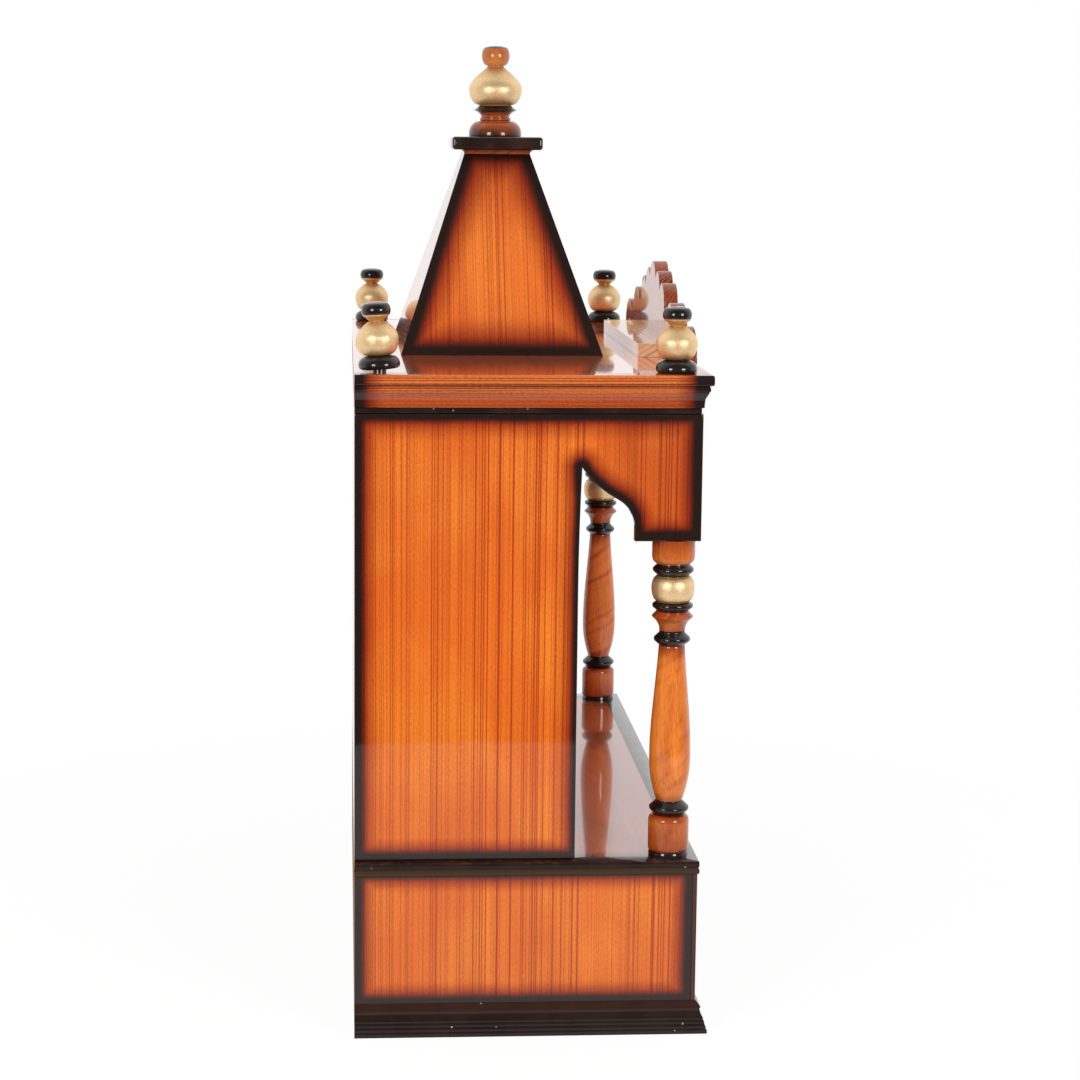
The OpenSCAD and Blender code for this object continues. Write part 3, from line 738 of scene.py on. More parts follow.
def finish_piece(mesh_builder, name, material, nodes, sharp=40.0):
    """Turn a bmesh into a smooth-shaded piece that stands for CAD nodes."""
    bmesh.ops.recalc_face_normals(mesh_builder, faces=mesh_builder.faces)
    mesh = bpy.data.meshes.new(name)
    mesh_builder.to_mesh(mesh)
    mesh_builder.free()
    for polygon in mesh.polygons:
        polygon.use_smooth = True
    mesh.set_sharp_from_angle(angle=math.radians(sharp))
    piece = bpy.data.objects.new(name, mesh)
    bpy.context.scene.collection.objects.link(piece)
    set_material(piece, material)
    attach(piece, "root")
    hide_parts(*nodes)
    return piece


def skin(made, rows, capped=True):
    """Faces between neighbouring closed rows of vertices, and over both ends."""
    for row, following in zip(rows, rows[1:]):
        for i in range(len(row)):
            j = (i + 1) % len(row)
            made.faces.new((row[i], row[j], following[j], following[i]))
    if capped:
        made.faces.new(rows[0][::-1])
        made.faces.new(rows[-1])


def dress(node, material, ease=BOARD_EASE):
    """Give a carried-over CAD node its material and softly rounded edges."""
    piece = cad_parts[node]
    set_material(piece, material)
    if ease:
        piece.modifiers.new("Joined corners", "WELD").merge_threshold = SAME_PLACE
        modifier = piece.modifiers.new("Eased edges", "BEVEL")
        modifier.width = ease
        modifier.segments = 2
        modifier.limit_method = "ANGLE"
        modifier.angle_limit = math.radians(35)
        modifier.harden_normals = True


def outline_of(node, axis):
    """Outline of the flat face at a CAD node's high end of an axis, anticlockwise, as
    pairs of the two other coordinates."""
    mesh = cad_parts[node].data
    level = BOX[node][1][axis]
    a, b = [i for i in (X, Y, Z) if i != axis]
    directed = set()
    for polygon in mesh.polygons:
        corners = [mesh.vertices[i].co for i in polygon.vertices]
        if all(abs(corner[axis] - level) < SAME_PLACE for corner in corners):
            keys = [(round(corner[a], 6), round(corner[b], 6)) for corner in corners]
            directed.update(zip(keys, keys[1:] + keys[:1]))
    follow = {start: end for start, end in directed if (end, start) not in directed and start != end}
    loops = []
    while follow:
        point, end = follow.popitem()
        loop = [point]
        while end in follow:
            loop.append(end)
            end = follow.pop(end)
        loops.append(loop)
    area, loop = max((area_of(points), points) for points in map(anticlockwise, loops))
    if area <= 0:
        raise RuntimeError(f"{node} has no flat face along axis {axis}")
    return [Vector(point) for point in tidy_loop(loop)]


def area_of(points):
    pairs = zip(points, points[1:] + points[:1])
    return sum(p[0] * q[1] - q[0] * p[1] for p, q in pairs) / 2


def anticlockwise(points):
    return points if area_of(points) > 0 else points[::-1]


def tidy_loop(points):
    """Drop points that lie on a straight run."""
    kept = []
    for before, point, after in zip(points[-1:] + points[:-1], points, points[1:] + points[:1]):
        first = Vector(point) - Vector(before)
        second = Vector(after) - Vector(point)
        if abs(first.x * second.y - first.y * second.x) > 1e-4 * first.length * second.length:
            kept.append(point)
    return kept


def inward_spots(points):
    """Each outline point with the direction in which its shading rings move inwards.
    A sharp inner corner gets a fan of directions, so that the rings go round it."""
    spots = []
    count = len(points)
    for i, point in enumerate(points):
        first = (point - points[i - 1]).normalized()
        second = (points[(i + 1) % count] - point).normalized()
        n1 = Vector((-first.y, first.x))
        n2 = Vector((-second.y, second.x))
        turn = math.atan2(first.x * second.y - first.y * second.x, first.dot(second))
        if turn > -SHARP_CORNER:
            spots.append((point, (n1 + n2) / (1 + n1.dot(n2))))
        else:
            steps = max(2, FAN * round(-turn / math.radians(60)))
            for k in range(steps + 1):
                spin = Matrix.Rotation(turn * k / steps, 2)
                spots.append((point, spin @ n1))
    return spots


def with_stops(outline):
    """Points added near both ends of long sides, so that shading can turn the corners."""
    points = []
    for start, end in zip(outline, outline[1:] + outline[:1]):
        side = end - start
        points.append(start)
        if side.length > LONG_SIDE:
            stops = [stop / side.length for stop in STOPS]
            points += [start + side * share for share in stops + [1 - share for share in stops[::-1]]]
    return points


def distance_to(point, sides):
    """Distance from a point to the nearest of some sides."""
    nearest = math.inf
    for start, end in sides:
        side = end - start
        share = min(1.0, max(0.0, (point - start).dot(side) / side.length_squared))
        nearest = min(nearest, (point - start - share * side).length)
    return nearest


def stretches_of(outline):
    """The outline's sides, grouped into stretches that run between its sharp corners."""
    sides = list(zip(outline, outline[1:] + outline[:1]))
    breaks = [
        i for i in range(len(sides))
        if (sides[i][1] - sides[i][0]).angle(sides[i - 1][1] - sides[i - 1][0]) > SHARP_CORNER
    ]
    turned = sides[breaks[0]:] + sides[:breaks[0]]
    marks = [b - breaks[0] for b in breaks] + [len(sides)]
    return [turned[a:b] for a, b in zip(marks, marks[1:])]


def smooth_least(values, reach):
    """The least of some values, rounded off where two of them come close."""
    least = math.inf
    for value in sorted(values):
        blend = max(reach - abs(value - least), 0.0) / reach if least < math.inf else 0.0
        least = min(least, value) - blend * blend * reach / 4
    return least


def border_distance(outline, width_of):
    """A function that gives a point's distance for the sprayed border, in which each
    stretch of the outline has its own border width."""
    stretches = stretches_of(outline)
    moves = [sizes().border - width_of(stretch) for stretch in stretches]

    def distance(point):
        distances = [distance_to(point, part) + move for part, move in zip(stretches, moves)]
        return smooth_least(distances, BORDER_BLEND)

    return distance


def face_with_rings(outline, spots, ease, depths, shade):
    """Triangles for a flat face whose rim lies at the eased edge, with rings of points at
    given depths. Returns points, their values of the function shade, and triangles."""
    sides = list(zip(outline, outline[1:] + outline[:1]))
    points = [spot + inward * ease for spot, inward in spots]
    rim = list(range(len(points)))
    links = []
    for depth in depths:
        numbers = []
        for spot, inward in spots:
            point = spot + inward * depth
            if distance_to(point, sides) > depth - 1e-5:
                numbers.append(len(points))
                points.append(point)
            else:
                numbers.append(None)
        for a, b in zip(numbers, numbers[1:] + numbers[:1]):
            if a is not None and b is not None and (points[a] - points[b]).length > SAME_PLACE:
                links.append((a, b))
    made, _, triangles, _, _, _ = delaunay_2d_cdt(points, links, [rim], 1, 1e-7)
    return made, [shade(point) for point in made], triangles


def shaded_board(name, node, axis, material, *, depth, width_of):
    """A board with eased edges. Its edge attribute holds the distance for the sprayed
    border on both faces, with rings of points down to a depth."""
    low, high = BOX[node]
    middle = (low[axis] + high[axis]) / 2
    half = (high[axis] - low[axis]) / 2
    ease = sizes().ease
    others = [i for i in (X, Y, Z) if i != axis]
    outline = outline_of(node, axis)
    shade = border_distance(outline, width_of)
    spots = inward_spots(with_stops(outline))
    made = bmesh.new()
    edge = made.verts.layers.float.new("edge")

    def vertex_at(point, level, distance):
        place = Vector((0.0, 0.0, 0.0))
        place[axis] = level
        place[others[0]], place[others[1]] = point
        vertex = made.verts.new(place)
        vertex[edge] = distance
        return vertex

    turns = [math.radians(a) for a in (90, 60, 30, 0)]
    upper = [(ease * (1 - math.cos(a)), half - ease * (1 - math.sin(a))) for a in turns]
    section = [(d, middle + h) for d, h in [(ease, half)] + upper[1:]]
    section += [(d, 2 * middle - h) for d, h in section[::-1]]
    rows = [[vertex_at(spot + inward * d, level, d) for spot, inward in spots] for d, level in section]
    skin(made, rows, capped=False)
    depths = [depth * k / RINGS for k in range(1, RINGS + 1)]
    points, distances, triangles = face_with_rings(outline, spots, ease, depths, shade)
    for level in (middle + half, middle - half):
        corners = [vertex_at(point, level, distance) for point, distance in zip(points, distances)]
        for triangle in triangles:
            made.faces.new([corners[i] for i in triangle])
    bmesh.ops.remove_doubles(made, verts=made.verts, dist=SAME_PLACE)
    piece = finish_piece(made, name, material, [node])
    piece.modifiers.new("Flat faces", "WEIGHTED_NORMAL").keep_sharp = True
    return piece


def rounded_slab(name, node, radius, material):
    """A plate with well-rounded edges and corners in the box of a CAD node."""
    low, high = Vector(BOX[node][0]), Vector(BOX[node][1])
    made = bmesh.new()
    place = Matrix.Translation((low + high) / 2) @ Matrix.Diagonal((*(high - low), 1.0))
    bmesh.ops.create_cube(made, size=1.0, matrix=place)
    bmesh.ops.bevel(
        made, geom=made.edges[:], offset=radius, offset_type="OFFSET", segments=5, profile=0.5, affect="EDGES"
    )
    return finish_piece(made, name, material, [node], sharp=50.0)


# ---- Turned profiles: points (radius, height) as shares ---------------------------------

STEPS = 10


def sweep(start, end):
    """Angles in even steps from one angle to another, both given in degrees."""
    return [math.radians(start + (end - start) * i / STEPS) for i in range(STEPS + 1)]


def ring(z0, z1, r_in, r):
    """A rounded ring between two heights."""
    middle, half = (z0 + z1) / 2, (z1 - z0) / 2
    return [(r_in + (r - r_in) * math.cos(a), middle + half * math.sin(a)) for a in sweep(-90, 90)]


def swell(z0, z1, r0, r):
    """The lower half of a bulb that widens from r0 to r."""
    return [(r0 + (r - r0) * math.cos(a), z1 + (z1 - z0) * math.sin(a)) for a in sweep(-90, 0)]


def close_in(z0, z1, r, r1):
    """The upper half of a bulb that closes from r to r1."""
    return [(r1 + (r - r1) * math.cos(a), z0 + (z1 - z0) * math.sin(a)) for a in sweep(0, 90)]


def ridge(z0, z, z1, r0, r, r1):
    """A ring with two sloping flanks and a rounded crest at z."""
    crest = [(r - 0.034 + 0.034 * math.cos(a), z + 0.006 * math.sin(a)) for a in sweep(-72, 72)]
    return [(r0, z0), *crest, (r1, z1)]


def along(z0, z1, radius_at):
    """Points between two heights whose radius is a function of the share of the way."""
    return [(radius_at(i / (2 * STEPS)), z0 + (z1 - z0) * i / (2 * STEPS)) for i in range(2 * STEPS + 1)]


def belly(z0, z1, r0, r):
    """A full widening from r0 to r."""
    return along(z0, z1, lambda t: r0 + (r - r0) * t * (2 - t))


def thin_out(z0, z1, r, r1):
    """A long tapering from r to r1."""
    return along(z0, z1, lambda t: r + (r1 - r) * t * t * (2.2 - 1.2 * t))


def flare(z0, z1, r0, r):
    """A hollow widening from r0 to r."""
    return along(z0, z1, lambda t: r0 + (r - r0) * t**2.4)


def shoulder(z0, z1, r, r1, power):
    """A shoulder that falls from r to the neck r1."""
    return along(z0, z1, lambda t: r1 + (r - r1) * max(0.0, math.cos(t * math.pi / 2)) ** power)


def column_profile():
    return (
        [(0.93, 0), (0.93, 0.010), (0.89, 0.014), (0.89, 0.017), (0.955, 0.021), (0.955, 0.110)]
        + close_in(0.110, 0.129, 0.955, 0.78)
        + ridge(0.130, 0.152, 0.176, 0.70, 0.93, 0.62)
        + belly(0.178, 0.310, 0.62, 0.965)
        + thin_out(0.320, 0.667, 0.965, 0.61)
        + ridge(0.668, 0.6876, 0.708, 0.60, 0.85, 0.60)
        + flare(0.711, 0.756, 0.60, 0.94)
        + [(0.965, 0.759), (0.94, 0.7615), (0.76, 0.774)]
        + ridge(0.776, 0.793, 0.805, 0.74, 0.95, 0.74)
        + swell(0.8065, 0.848, 0.74, 1.0)
        + close_in(0.848, 0.8845, 1.0, 0.72)
        + ridge(0.886, 0.905, 0.922, 0.72, 0.955, 0.75)
        + swell(0.924, 0.9475, 0.75, 1.0)
        + [(1.0, 1)]
    )


def finial_profile():
    return (
        [(0.86, 0)]
        + swell(0, 0.060, 0.86, 1.0)
        + close_in(0.060, 0.198, 1.0, 0.52)
        + swell(0.204, 0.448, 0.55, 1.0)
        + shoulder(0.448, 0.712, 1.0, 0.33, 0.75)
        + [(0.33, 0.716), (0.46, 0.755)]
        + swell(0.780, 0.878, 0.53, 0.70)
        + close_in(0.878, 0.985, 0.70, 0.46)
        + [(0.30, 1)]
    )


def kalash_profile():
    return (
        [(0.97, 0)]
        + swell(0, 0.035, 0.97, 1.0)
        + close_in(0.035, 0.177, 1.0, 0.60)
        + ring(0.179, 0.214, 0.55, 0.585)
        + flare(0.216, 0.290, 0.54, 0.80)
        + [(0.82, 0.294), (0.80, 0.300), (0.67, 0.328), (0.62, 0.345)]
        + swell(0.350, 0.525, 0.58, 1.0)
        + shoulder(0.525, 0.779, 1.0, 0.30, 1.15)
        + swell(0.783, 0.895, 0.31, 0.53)
        + close_in(0.895, 0.988, 0.53, 0.38)
        + [(0.26, 1)]
    )


# Painted bands of each turned piece: (lowest, highest share of the height, softness). The rim bands are
# painted shade on the gold, where each gold bulb turns away at its top and bottom
COLUMN_PAINT = {
    "black": [
        (-1, 0.019, 0.008),
        (0.130, 0.178, 0.005),
        (0.668, 0.715, 0.006),
        (0.775, 0.8055, 0.003),
        (0.885, 0.923, 0.003),
    ],
    "gold": [(0.8060, 0.8850, 0.002)],
    "rim": [(0.80, 0.8140, 0.022), (0.8770, 0.89, 0.022)],
    "stain": [
        (-1, 0.100, 0.14),
        (0.11, 0.19, 0.03),
        (0.64, 0.74, 0.05),
        (0.755, 0.80, 0.01),
        (0.945, 2, 0.10),
    ],
}
FINIAL_PAINT = {
    "black": [(-1, 0.201, 0.002), (0.815, 2, 0.05)],
    "gold": [(0.201, 0.815, 0.010)],
    "rim": [(0.19, 0.250, 0.14), (0.660, 0.82, 0.18)],
    "stain": [],
}
KALASH_PAINT = {
    "black": [(-1, 0.10, 0.60), (0.270, 0.345, 0.02), (0.975, 2, 0.02)],
    "gold": [(0.347, 0.782, 0.004)],
    "rim": [(0.34, 0.385, 0.09), (0.700, 0.79, 0.14)],
    "stain": [(-1, 0.20, 0.03), (0.15, 0.33, 0.03), (0.86, 2, 0.40)],
}


def band_amount(bands, height):
    """How far a height lies inside any of the bands, from 0 to 1."""
    amount = 0.0
    for low, high, soft in bands:
        inside = min(height - low, high - height) / soft + 0.5
        amount = max(amount, min(1.0, max(0.0, inside)))
    return amount


def dense(points, gap):
    """Points added along a profile so that no two are further apart than the gap."""
    result = [points[0]]
    for start, end in zip(points, points[1:]):
        steps = max(1, math.ceil(math.dist(start, end) / gap))
        result += [
            (start[0] + (end[0] - start[0]) * k / steps, start[1] + (end[1] - start[1]) * k / steps)
            for k in range(1, steps + 1)
        ]
    return result


# Vertices around a turned piece, and the longest step along its profile, in metres
AROUND = 96
PROFILE_STEP = 0.0025


def turned_piece(name, node, profile, paint, material, slot, box=None, pose=None):
    """A turned piece about the axis of the CAD node that it stands for, or about the
    upright box that is given, moved by the pose."""
    low, high = box or BOX[node]
    radius = (high[X] - low[X]) / 2
    height = high[Z] - low[Z]
    centre_x, centre_y = (low[X] + high[X]) / 2, (low[Y] + high[Y]) / 2
    made = bmesh.new()
    layers = {key: made.verts.layers.float.new(key) for key in paint}
    widest = max(r for r, _ in profile)
    points = dense([(r / widest * radius, z * height) for r, z in profile], PROFILE_STEP)
    rows = []
    for r, z in points:
        row = []
        for k in range(AROUND):
            angle = 2 * math.pi * k / AROUND
            place = (centre_x + r * math.cos(angle), centre_y + r * math.sin(angle), low[Z] + z)
            vertex = made.verts.new(place)
            for key, layer in layers.items():
                vertex[layer] = band_amount(paint[key], z / height)
            row.append(vertex)
        rows.append(row)
    skin(made, rows)
    bmesh.ops.remove_doubles(made, verts=made.verts, dist=SAME_PLACE)
    if pose is not None:
        bmesh.ops.transform(made, matrix=pose, verts=made.verts)
    return finish_piece(made, name, material, [node], sharp=50.0)


def add_peg(piece, foot, radius, length):
    """Add an upright black peg at a foot point to a finished turned piece's mesh."""
    made = bmesh.new()
    made.from_mesh(piece.data)
    black = made.verts.layers.float["black"]
    place = Matrix.Translation(foot + Vector((0, 0, length / 2)))
    peg = bmesh.ops.create_cone(
        made, cap_ends=True, segments=32, radius1=radius, radius2=radius, depth=length, matrix=place
    )
    for vertex in peg["verts"]:
        vertex[black] = 1.0
    made.to_mesh(piece.data)
    made.free()


# ---- Mouldings --------------------------------------------------------------------------


def arc(cx, cy, r, start, end):
    return [(cx + r * math.cos(a), cy + r * math.sin(a)) for a in sweep(start, end)]


def plinth_profile():
    return (
        [(0, 0), (0.98, 0), (1, 0.02), (1, 0.11), (0.90, 0.14)]
        + arc(0.84, 0.21, 0.05, -50, 60)
        + [(0.80, 0.27)]
        + arc(0.73, 0.34, 0.05, -50, 60)
        + [(0.69, 0.40)]
        + arc(0.62, 0.46, 0.05, -50, 60)
        + [(0.56, 0.53), (0.46, 0.60), (0.40, 0.69), (0.38, 0.77)]
        + [(0.45, 0.79), (0.44, 0.83), (0.04, 1), (0, 1)]
    )


def cornice_profile():
    return (
        [(0, 0), (0.06, 0), (0.08, 0.14), (0.14, 0.27)]
        + [(0.60 - 0.42 * math.cos(a), 0.30 + 0.20 * (1 - math.cos(a))) for a in sweep(0, 80)]
        + [(0.50, 0.480), (0.50, 0.500)]
        + arc(0.58, 0.565, 0.07, -70, 80)
        + [(0.56, 0.645), (0.56, 0.665), (0.82, 0.685)]
        + arc(0.90, 0.79, 0.10, -60, 0)
        + arc(0.88, 0.88, 0.12, 0, 85)
        + [(0.60, 1), (0, 1)]
    )


# Shares of the deck edge's height that the bead takes, and at which the groove ends
BEAD_TOP = 5.5 / 12
GROOVE_TOP = 6.4 / 12


def nosing_profile():
    return (
        [(0, 0), (0.3, 0)]
        + [(0.35 + 0.65 * math.cos(a), BEAD_TOP * (1 + math.sin(a)) / 2) for a in sweep(-90, 90)]
        + [(0.2, BEAD_TOP), (0.2, (BEAD_TOP + GROOVE_TOP) / 2)]
        + [(0.85, GROOVE_TOP), (0.95, 0.80), (0.85, 0.92), (0.6, 0.98), (0.3, 1), (0, 1)]
    )


def mitred_strip(name, node, side, profile, out, inward, material, slot):
    """One strip of a mitred moulding. side is "front", "left" or "right"; out is how far
    the moulding stands out, and inward is how far it reaches behind its face."""
    low, high = BOX[node]
    height = high[Z] - low[Z]
    points = [(p * out, low[Z] + h * height) for p, h in profile]
    if inward:
        points = [(-inward, low[Z])] + points[1:-1] + [(-inward, high[Z])]
    made = bmesh.new()
    rows = [], []
    for p, z in points:
        y = low[Y] + out - p
        if side == "front":
            reach = high[X] - out + p
            places = (-reach, y, z), (reach, y, z)
        else:
            outer, sign = (low[X], -1) if side == "left" else (high[X], 1)
            x = outer + sign * (p - out)
            places = (x, y, z), (x, high[Y], z)
        for row, place in zip(rows, places):
            row.append(made.verts.new(place))
    skin(made, rows)
    return finish_piece(made, name, material, [node], sharp=38.0)


# ---- Operators --------------------------------------------------------------------------

# Lean of the left back finial, and the free length and radius of its peg, in metres
FINIAL_LEAN = math.radians(3.5)
PEG_LIFT = 0.003
PEG_RADIUS = 0.006
# Rounding of the cap plate's edges
CAP_ROUND = 0.0030
# Grain seeds of the sides, where the grain runs on from the base board to the side board
SIDE_SEEDS = (("left", 3.0), ("right", 11.0))
VALANCE_BORDER = 0.0070
# How near a stretch of outline has to lie to an edge to count as part of it
NEAR_EDGE = 0.002
# Border widths: low side, high side, foot and top of a board
BASE_SIDE_BORDERS = (0.0075, 0.0068, 0.0062, 0.0015)
BASE_FRONT_BORDERS = (0.0075, 0.0075, 0.0062, 0.0015)
BACK_PANEL_BORDERS = (0.0085, 0.0085, 0.0085, 0.0085)
TOWER_BORDERS = (0.0115, 0.0115, 0.0100, 0.0050)
TOWER_FADE = 0.0125
# The tower's boards, the axis across each of them and its grain seed
TOWER_BOARDS = (
    ("tower_left", Y, 53.0),
    ("tower_right", Y, 61.0),
    ("tower_front", X, 67.0),
    ("tower_back", X, 71.0),
)
# How far the cove stands out beyond the tops of the tower's boards
COVE_OUT = 0.004
# Other tone that is rubbed through the black lacquer
BLACK_RUB = (0.060, 0.024, 0.014)


def side_border(stretch):
    """Border width beside one stretch of a side board's outline."""
    ys = [point.x for side in stretch for point in side]
    zs = [point.y for side in stretch for point in side]
    low, high = BOX["side_board_left"]
    rise = max(zs) - min(zs)
    widths = (
        (min(zs) > high[Z] - NEAR_EDGE, 0.0060),  # top
        (max(zs) < low[Z] + NEAR_EDGE, 0.0082),  # foot
        (min(ys) > high[Y] - NEAR_EDGE, 0.0072),  # back
        (max(ys) < low[Y] + NEAR_EDGE, 0.0092),  # front
        (rise < NEAR_EDGE, 0.0095),  # level steps
        (rise > 0.20, 0.0045),  # the long upright edge of the opening
        (True, 0.0068),  # curves and short edges
    )
    return next(width for found, width in widths if found)


class TEMPLE_OT_side_boards(bpy.types.Operator):
    """Build both side boards and the front valance with sprayed borders"""

    bl_idname = "temple.side_boards"
    bl_label = "Side boards and valance"

    def execute(self, context):
        top = BOX["side_board_left"][1][Z]
        tints = (
            (Z, top - 0.22, top - 0.05, (0.90, 0.85, 1.0)),
            (Y, -0.050, -0.085, (0.82, 0.74, 0.80)),
        )
        for side, seed in SIDE_SEEDS:
            material = veneer_material(f"veneer_side_{side}", Y, "attribute", seed=seed, tints=tints)
            node = f"side_board_{side}"
            shaded_board(f"side_panel_{side}", node, X, material, depth=0.022, width_of=side_border)
        material = veneer_material("veneer_valance", X, "attribute", seed=19.0)
        shaded_board(
            "valance_panel", "front_valance", Y, material, depth=0.014, width_of=lambda _: VALANCE_BORDER
        )
        return {"FINISHED"}


class TEMPLE_OT_base(bpy.types.Operator):
    """Finish the base boards and the back panel"""

    bl_idname = "temple.base"
    bl_label = "Base and back panel"

    def execute(self, context):
        plinth_top = BOX["plinth_left"][1][Z]
        boards = [(f"base_{side}", Y, seed, BASE_SIDE_BORDERS, BOARD_EASE, None) for side, seed in SIDE_SEEDS]
        bare = BOX["base_front"][0][Y] + 0.0012
        boards.append(("base_front", X, 23.0, BASE_FRONT_BORDERS, BOARD_EASE, bare))
        boards.append(("back_panel", X, 41.0, BACK_PANEL_BORDERS, 0.0, None))
        for node, axis, seed, widths, ease, bare_behind in boards:
            low, high = BOX[node]
            # The plinth hides a base board's foot
            foot = max(low[Z], plinth_top)
            edge = edge_lines(low[axis], high[axis], foot, high[Z], widths)
            material = veneer_material(f"veneer_{node}", axis, edge, seed=seed, bare_behind=bare_behind)
            dress(node, material, ease)
        plain = plain_board_material("plain_board", colours().board)
        for node in ("base_back", "base_bottom", "top_back_rail"):
            dress(node, plain)
        return {"FINISHED"}


class TEMPLE_OT_deck_and_top(bpy.types.Operator):
    """Finish the deck, the top board, the ceiling board and the cap plate"""

    bl_idname = "temple.deck_and_top"
    bl_label = "Deck and top boards"

    def execute(self, context):
        # Each board with the moulding around it, and its border widths at the sides and the front
        for node, name, rim, tone, border, front in (
            ("deck_board", "deck_lacquer", "deck_nosing", colours().brown, 0.022, 0.006),
            ("top_board", "top_lacquer", "cornice", colours().dark_brown, 0.010, 0.010),
        ):
            low, high = BOX[f"{rim}_front"][0], BOX[f"{rim}_right"][1]
            dress(node, deck_material(name, tone, low, high, border=border, front=front), 0.0)
        base = colours().black_brown
        black = lacquer_material("black_lacquer", base, rub=BLACK_RUB, wear=0.45, specks=0.3)
        dress("ceiling_board", black, ease=0.0012)
        cap = lacquer_material("cap_lacquer", base, rub=BLACK_RUB, wear=0.6, specks=0.5)
        rounded_slab("cap_plate", "tower_cap", CAP_ROUND, cap)
        return {"FINISHED"}


class TEMPLE_OT_mouldings(bpy.types.Operator):
    """Build the plinth, deck nosing and cornice strips, and finish the cove"""

    bl_idname = "temple.mouldings"
    bl_label = "Mouldings"

    def execute(self, context):
        low, high = BOX["plinth_left"]
        black = plinth_material("plinth_lacquer", low[Z], high[Z])
        low, high = BOX["deck_nosing_left"]
        nosing = nosing_material("nosing_lacquer", low[Z], high[Z], BEAD_TOP * (high[Z] - low[Z]))
        base_low = BOX["base_front"][0]
        plinth_out = base_low[X] - BOX["plinth_left"][0][X]
        # How far the mouldings stand out from the boards behind them, and reach in between them
        nosing_reach = (base_low[X] - BOX["deck_nosing_left"][0][X], BOX["deck_board"][0][X] - base_low[X])
        cabinet_x = BOX["side_board_left"][0][X]
        cornice_reach = (cabinet_x - BOX["cornice_left"][0][X], BOX["top_board"][0][X] - cabinet_x)
        for side in ("front", "left", "right"):
            low, high = BOX[f"cornice_{side}"]
            axis = X if side == "front" else Y
            # The black end is about 17 mm long at a front corner and 10 mm at the wall
            ends = (low[axis] + 0.0080, high[axis] - (0.0080 if side == "front" else 0.0010))
            # The cornice is darkened with painted shade below these heights, under its lip
            deep = (low[Z] + 0.20 * (high[Z] - low[Z]), low[Z] + 0.62 * (high[Z] - low[Z]))
            wood = moulding_material(f"cornice_wood_{side}", axis, ends, seed=5.0, painted_shade_below=deep)
            for piece, node, *shape in (
                ("plinth_strip", "plinth", plinth_profile(), plinth_out, 0.0, black, "black_lacquer"),
                ("nosing_strip", "deck_nosing", nosing_profile(), *nosing_reach, nosing, "dark_lacquer"),
                ("cornice_strip", "cornice", cornice_profile(), *cornice_reach, wood, "moulding_teak"),
            ):
                mitred_strip(f"{piece}_{side}", f"{node}_{side}", side, *shape)
        cove = moulding_material("cove_wood", X, NO_ENDS, seed=9.0, light=colours().cove_light)
        dress("tower_cove", cove, ease=0.0)
        return {"FINISHED"}


class TEMPLE_OT_columns(bpy.types.Operator):
    """Turn the two columns"""

    bl_idname = "temple.columns"
    bl_label = "Columns"

    def execute(self, context):
        c = colours()
        light = turned_material(
            "column_wood_light", c.turned_light, c.turned_dark, figure=0.85, seed=2.0, curl=0.22
        )
        red = turned_material(
            "column_wood_red", c.redwood_light, c.redwood_dark, figure=0.6, seed=6.0, curl=0.75
        )
        for side, material in (("left", light), ("right", red)):
            node = f"column_{side}"
            turned_piece(f"turned_{node}", node, column_profile(), COLUMN_PAINT, material, "turned_wood")
        return {"FINISHED"}


class TEMPLE_OT_finials(bpy.types.Operator):
    """Turn the central finial and the four corner finials"""

    bl_idname = "temple.finials"
    bl_label = "Finials"

    def execute(self, context):
        c = colours()
        material = turned_material("kalash_wood", c.foot_light, c.redwood_dark, figure=0.5, seed=4.0)
        profile = kalash_profile()
        turned_piece("turned_kalash", "kalash_finial", profile, KALASH_PAINT, material, "gilded_wood")
        material = turned_material("finial_wood", c.redwood_light, c.redwood_dark, figure=0.5, seed=8.0)
        shape = (finial_profile(), FINIAL_PAINT, material, "gilded_wood")
        for node in ("finial_front_left", "finial_front_right", "finial_back_right"):
            turned_piece(f"turned_{node}", node, *shape)
        # The left back finial leans towards the wall on its peg; its place mirrors its twin's
        low, high = BOX["finial_back_right"]
        upright = ((-high[X], low[Y], low[Z]), (-low[X], high[Y], high[Z]))
        foot = Vector((-(low[X] + high[X]) / 2, (low[Y] + high[Y]) / 2, low[Z]))
        seat = foot + Vector((0, 0, PEG_LIFT))
        lean = Matrix.Translation(seat) @ Matrix.Rotation(-FINIAL_LEAN, 4, "X") @ Matrix.Translation(-foot)
        piece = turned_piece("turned_finial_back_left", "finial_back_left", *shape, upright, lean)
        add_peg(piece, foot, PEG_RADIUS, 2 * PEG_LIFT)
        return {"FINISHED"}


class TEMPLE_OT_tower(bpy.types.Operator):
    """Finish the four leaning boards of the tower"""

    bl_idname = "temple.tower"
    bl_label = "Tower"

    def execute(self, context):
        foot, top = BOX["tower_left"][0][Z], BOX["tower_left"][1][Z]
        cove_low, cove_high = BOX["tower_cove"]
        tints = (
            (Z, -2.0, -1.0, (0.84, 0.88, 1.25)),
            (Z, top - 0.095, top - 0.002, (0.72, 0.52, 0.46)),
        )
        for node, axis, seed in TOWER_BOARDS:
            low, high = BOX[node]
            top_sides = (cove_low[axis] + COVE_OUT, cove_high[axis] - COVE_OUT)
            edge = edge_lines(low[axis], high[axis], foot, top, TOWER_BORDERS, *top_sides)
            material = veneer_material(
                f"veneer_{node}", axis, edge, seed=seed, fade=TOWER_FADE, tints=tints, lines=0.75
            )
            dress(node, material, ease=0.0)
        return {"FINISHED"}


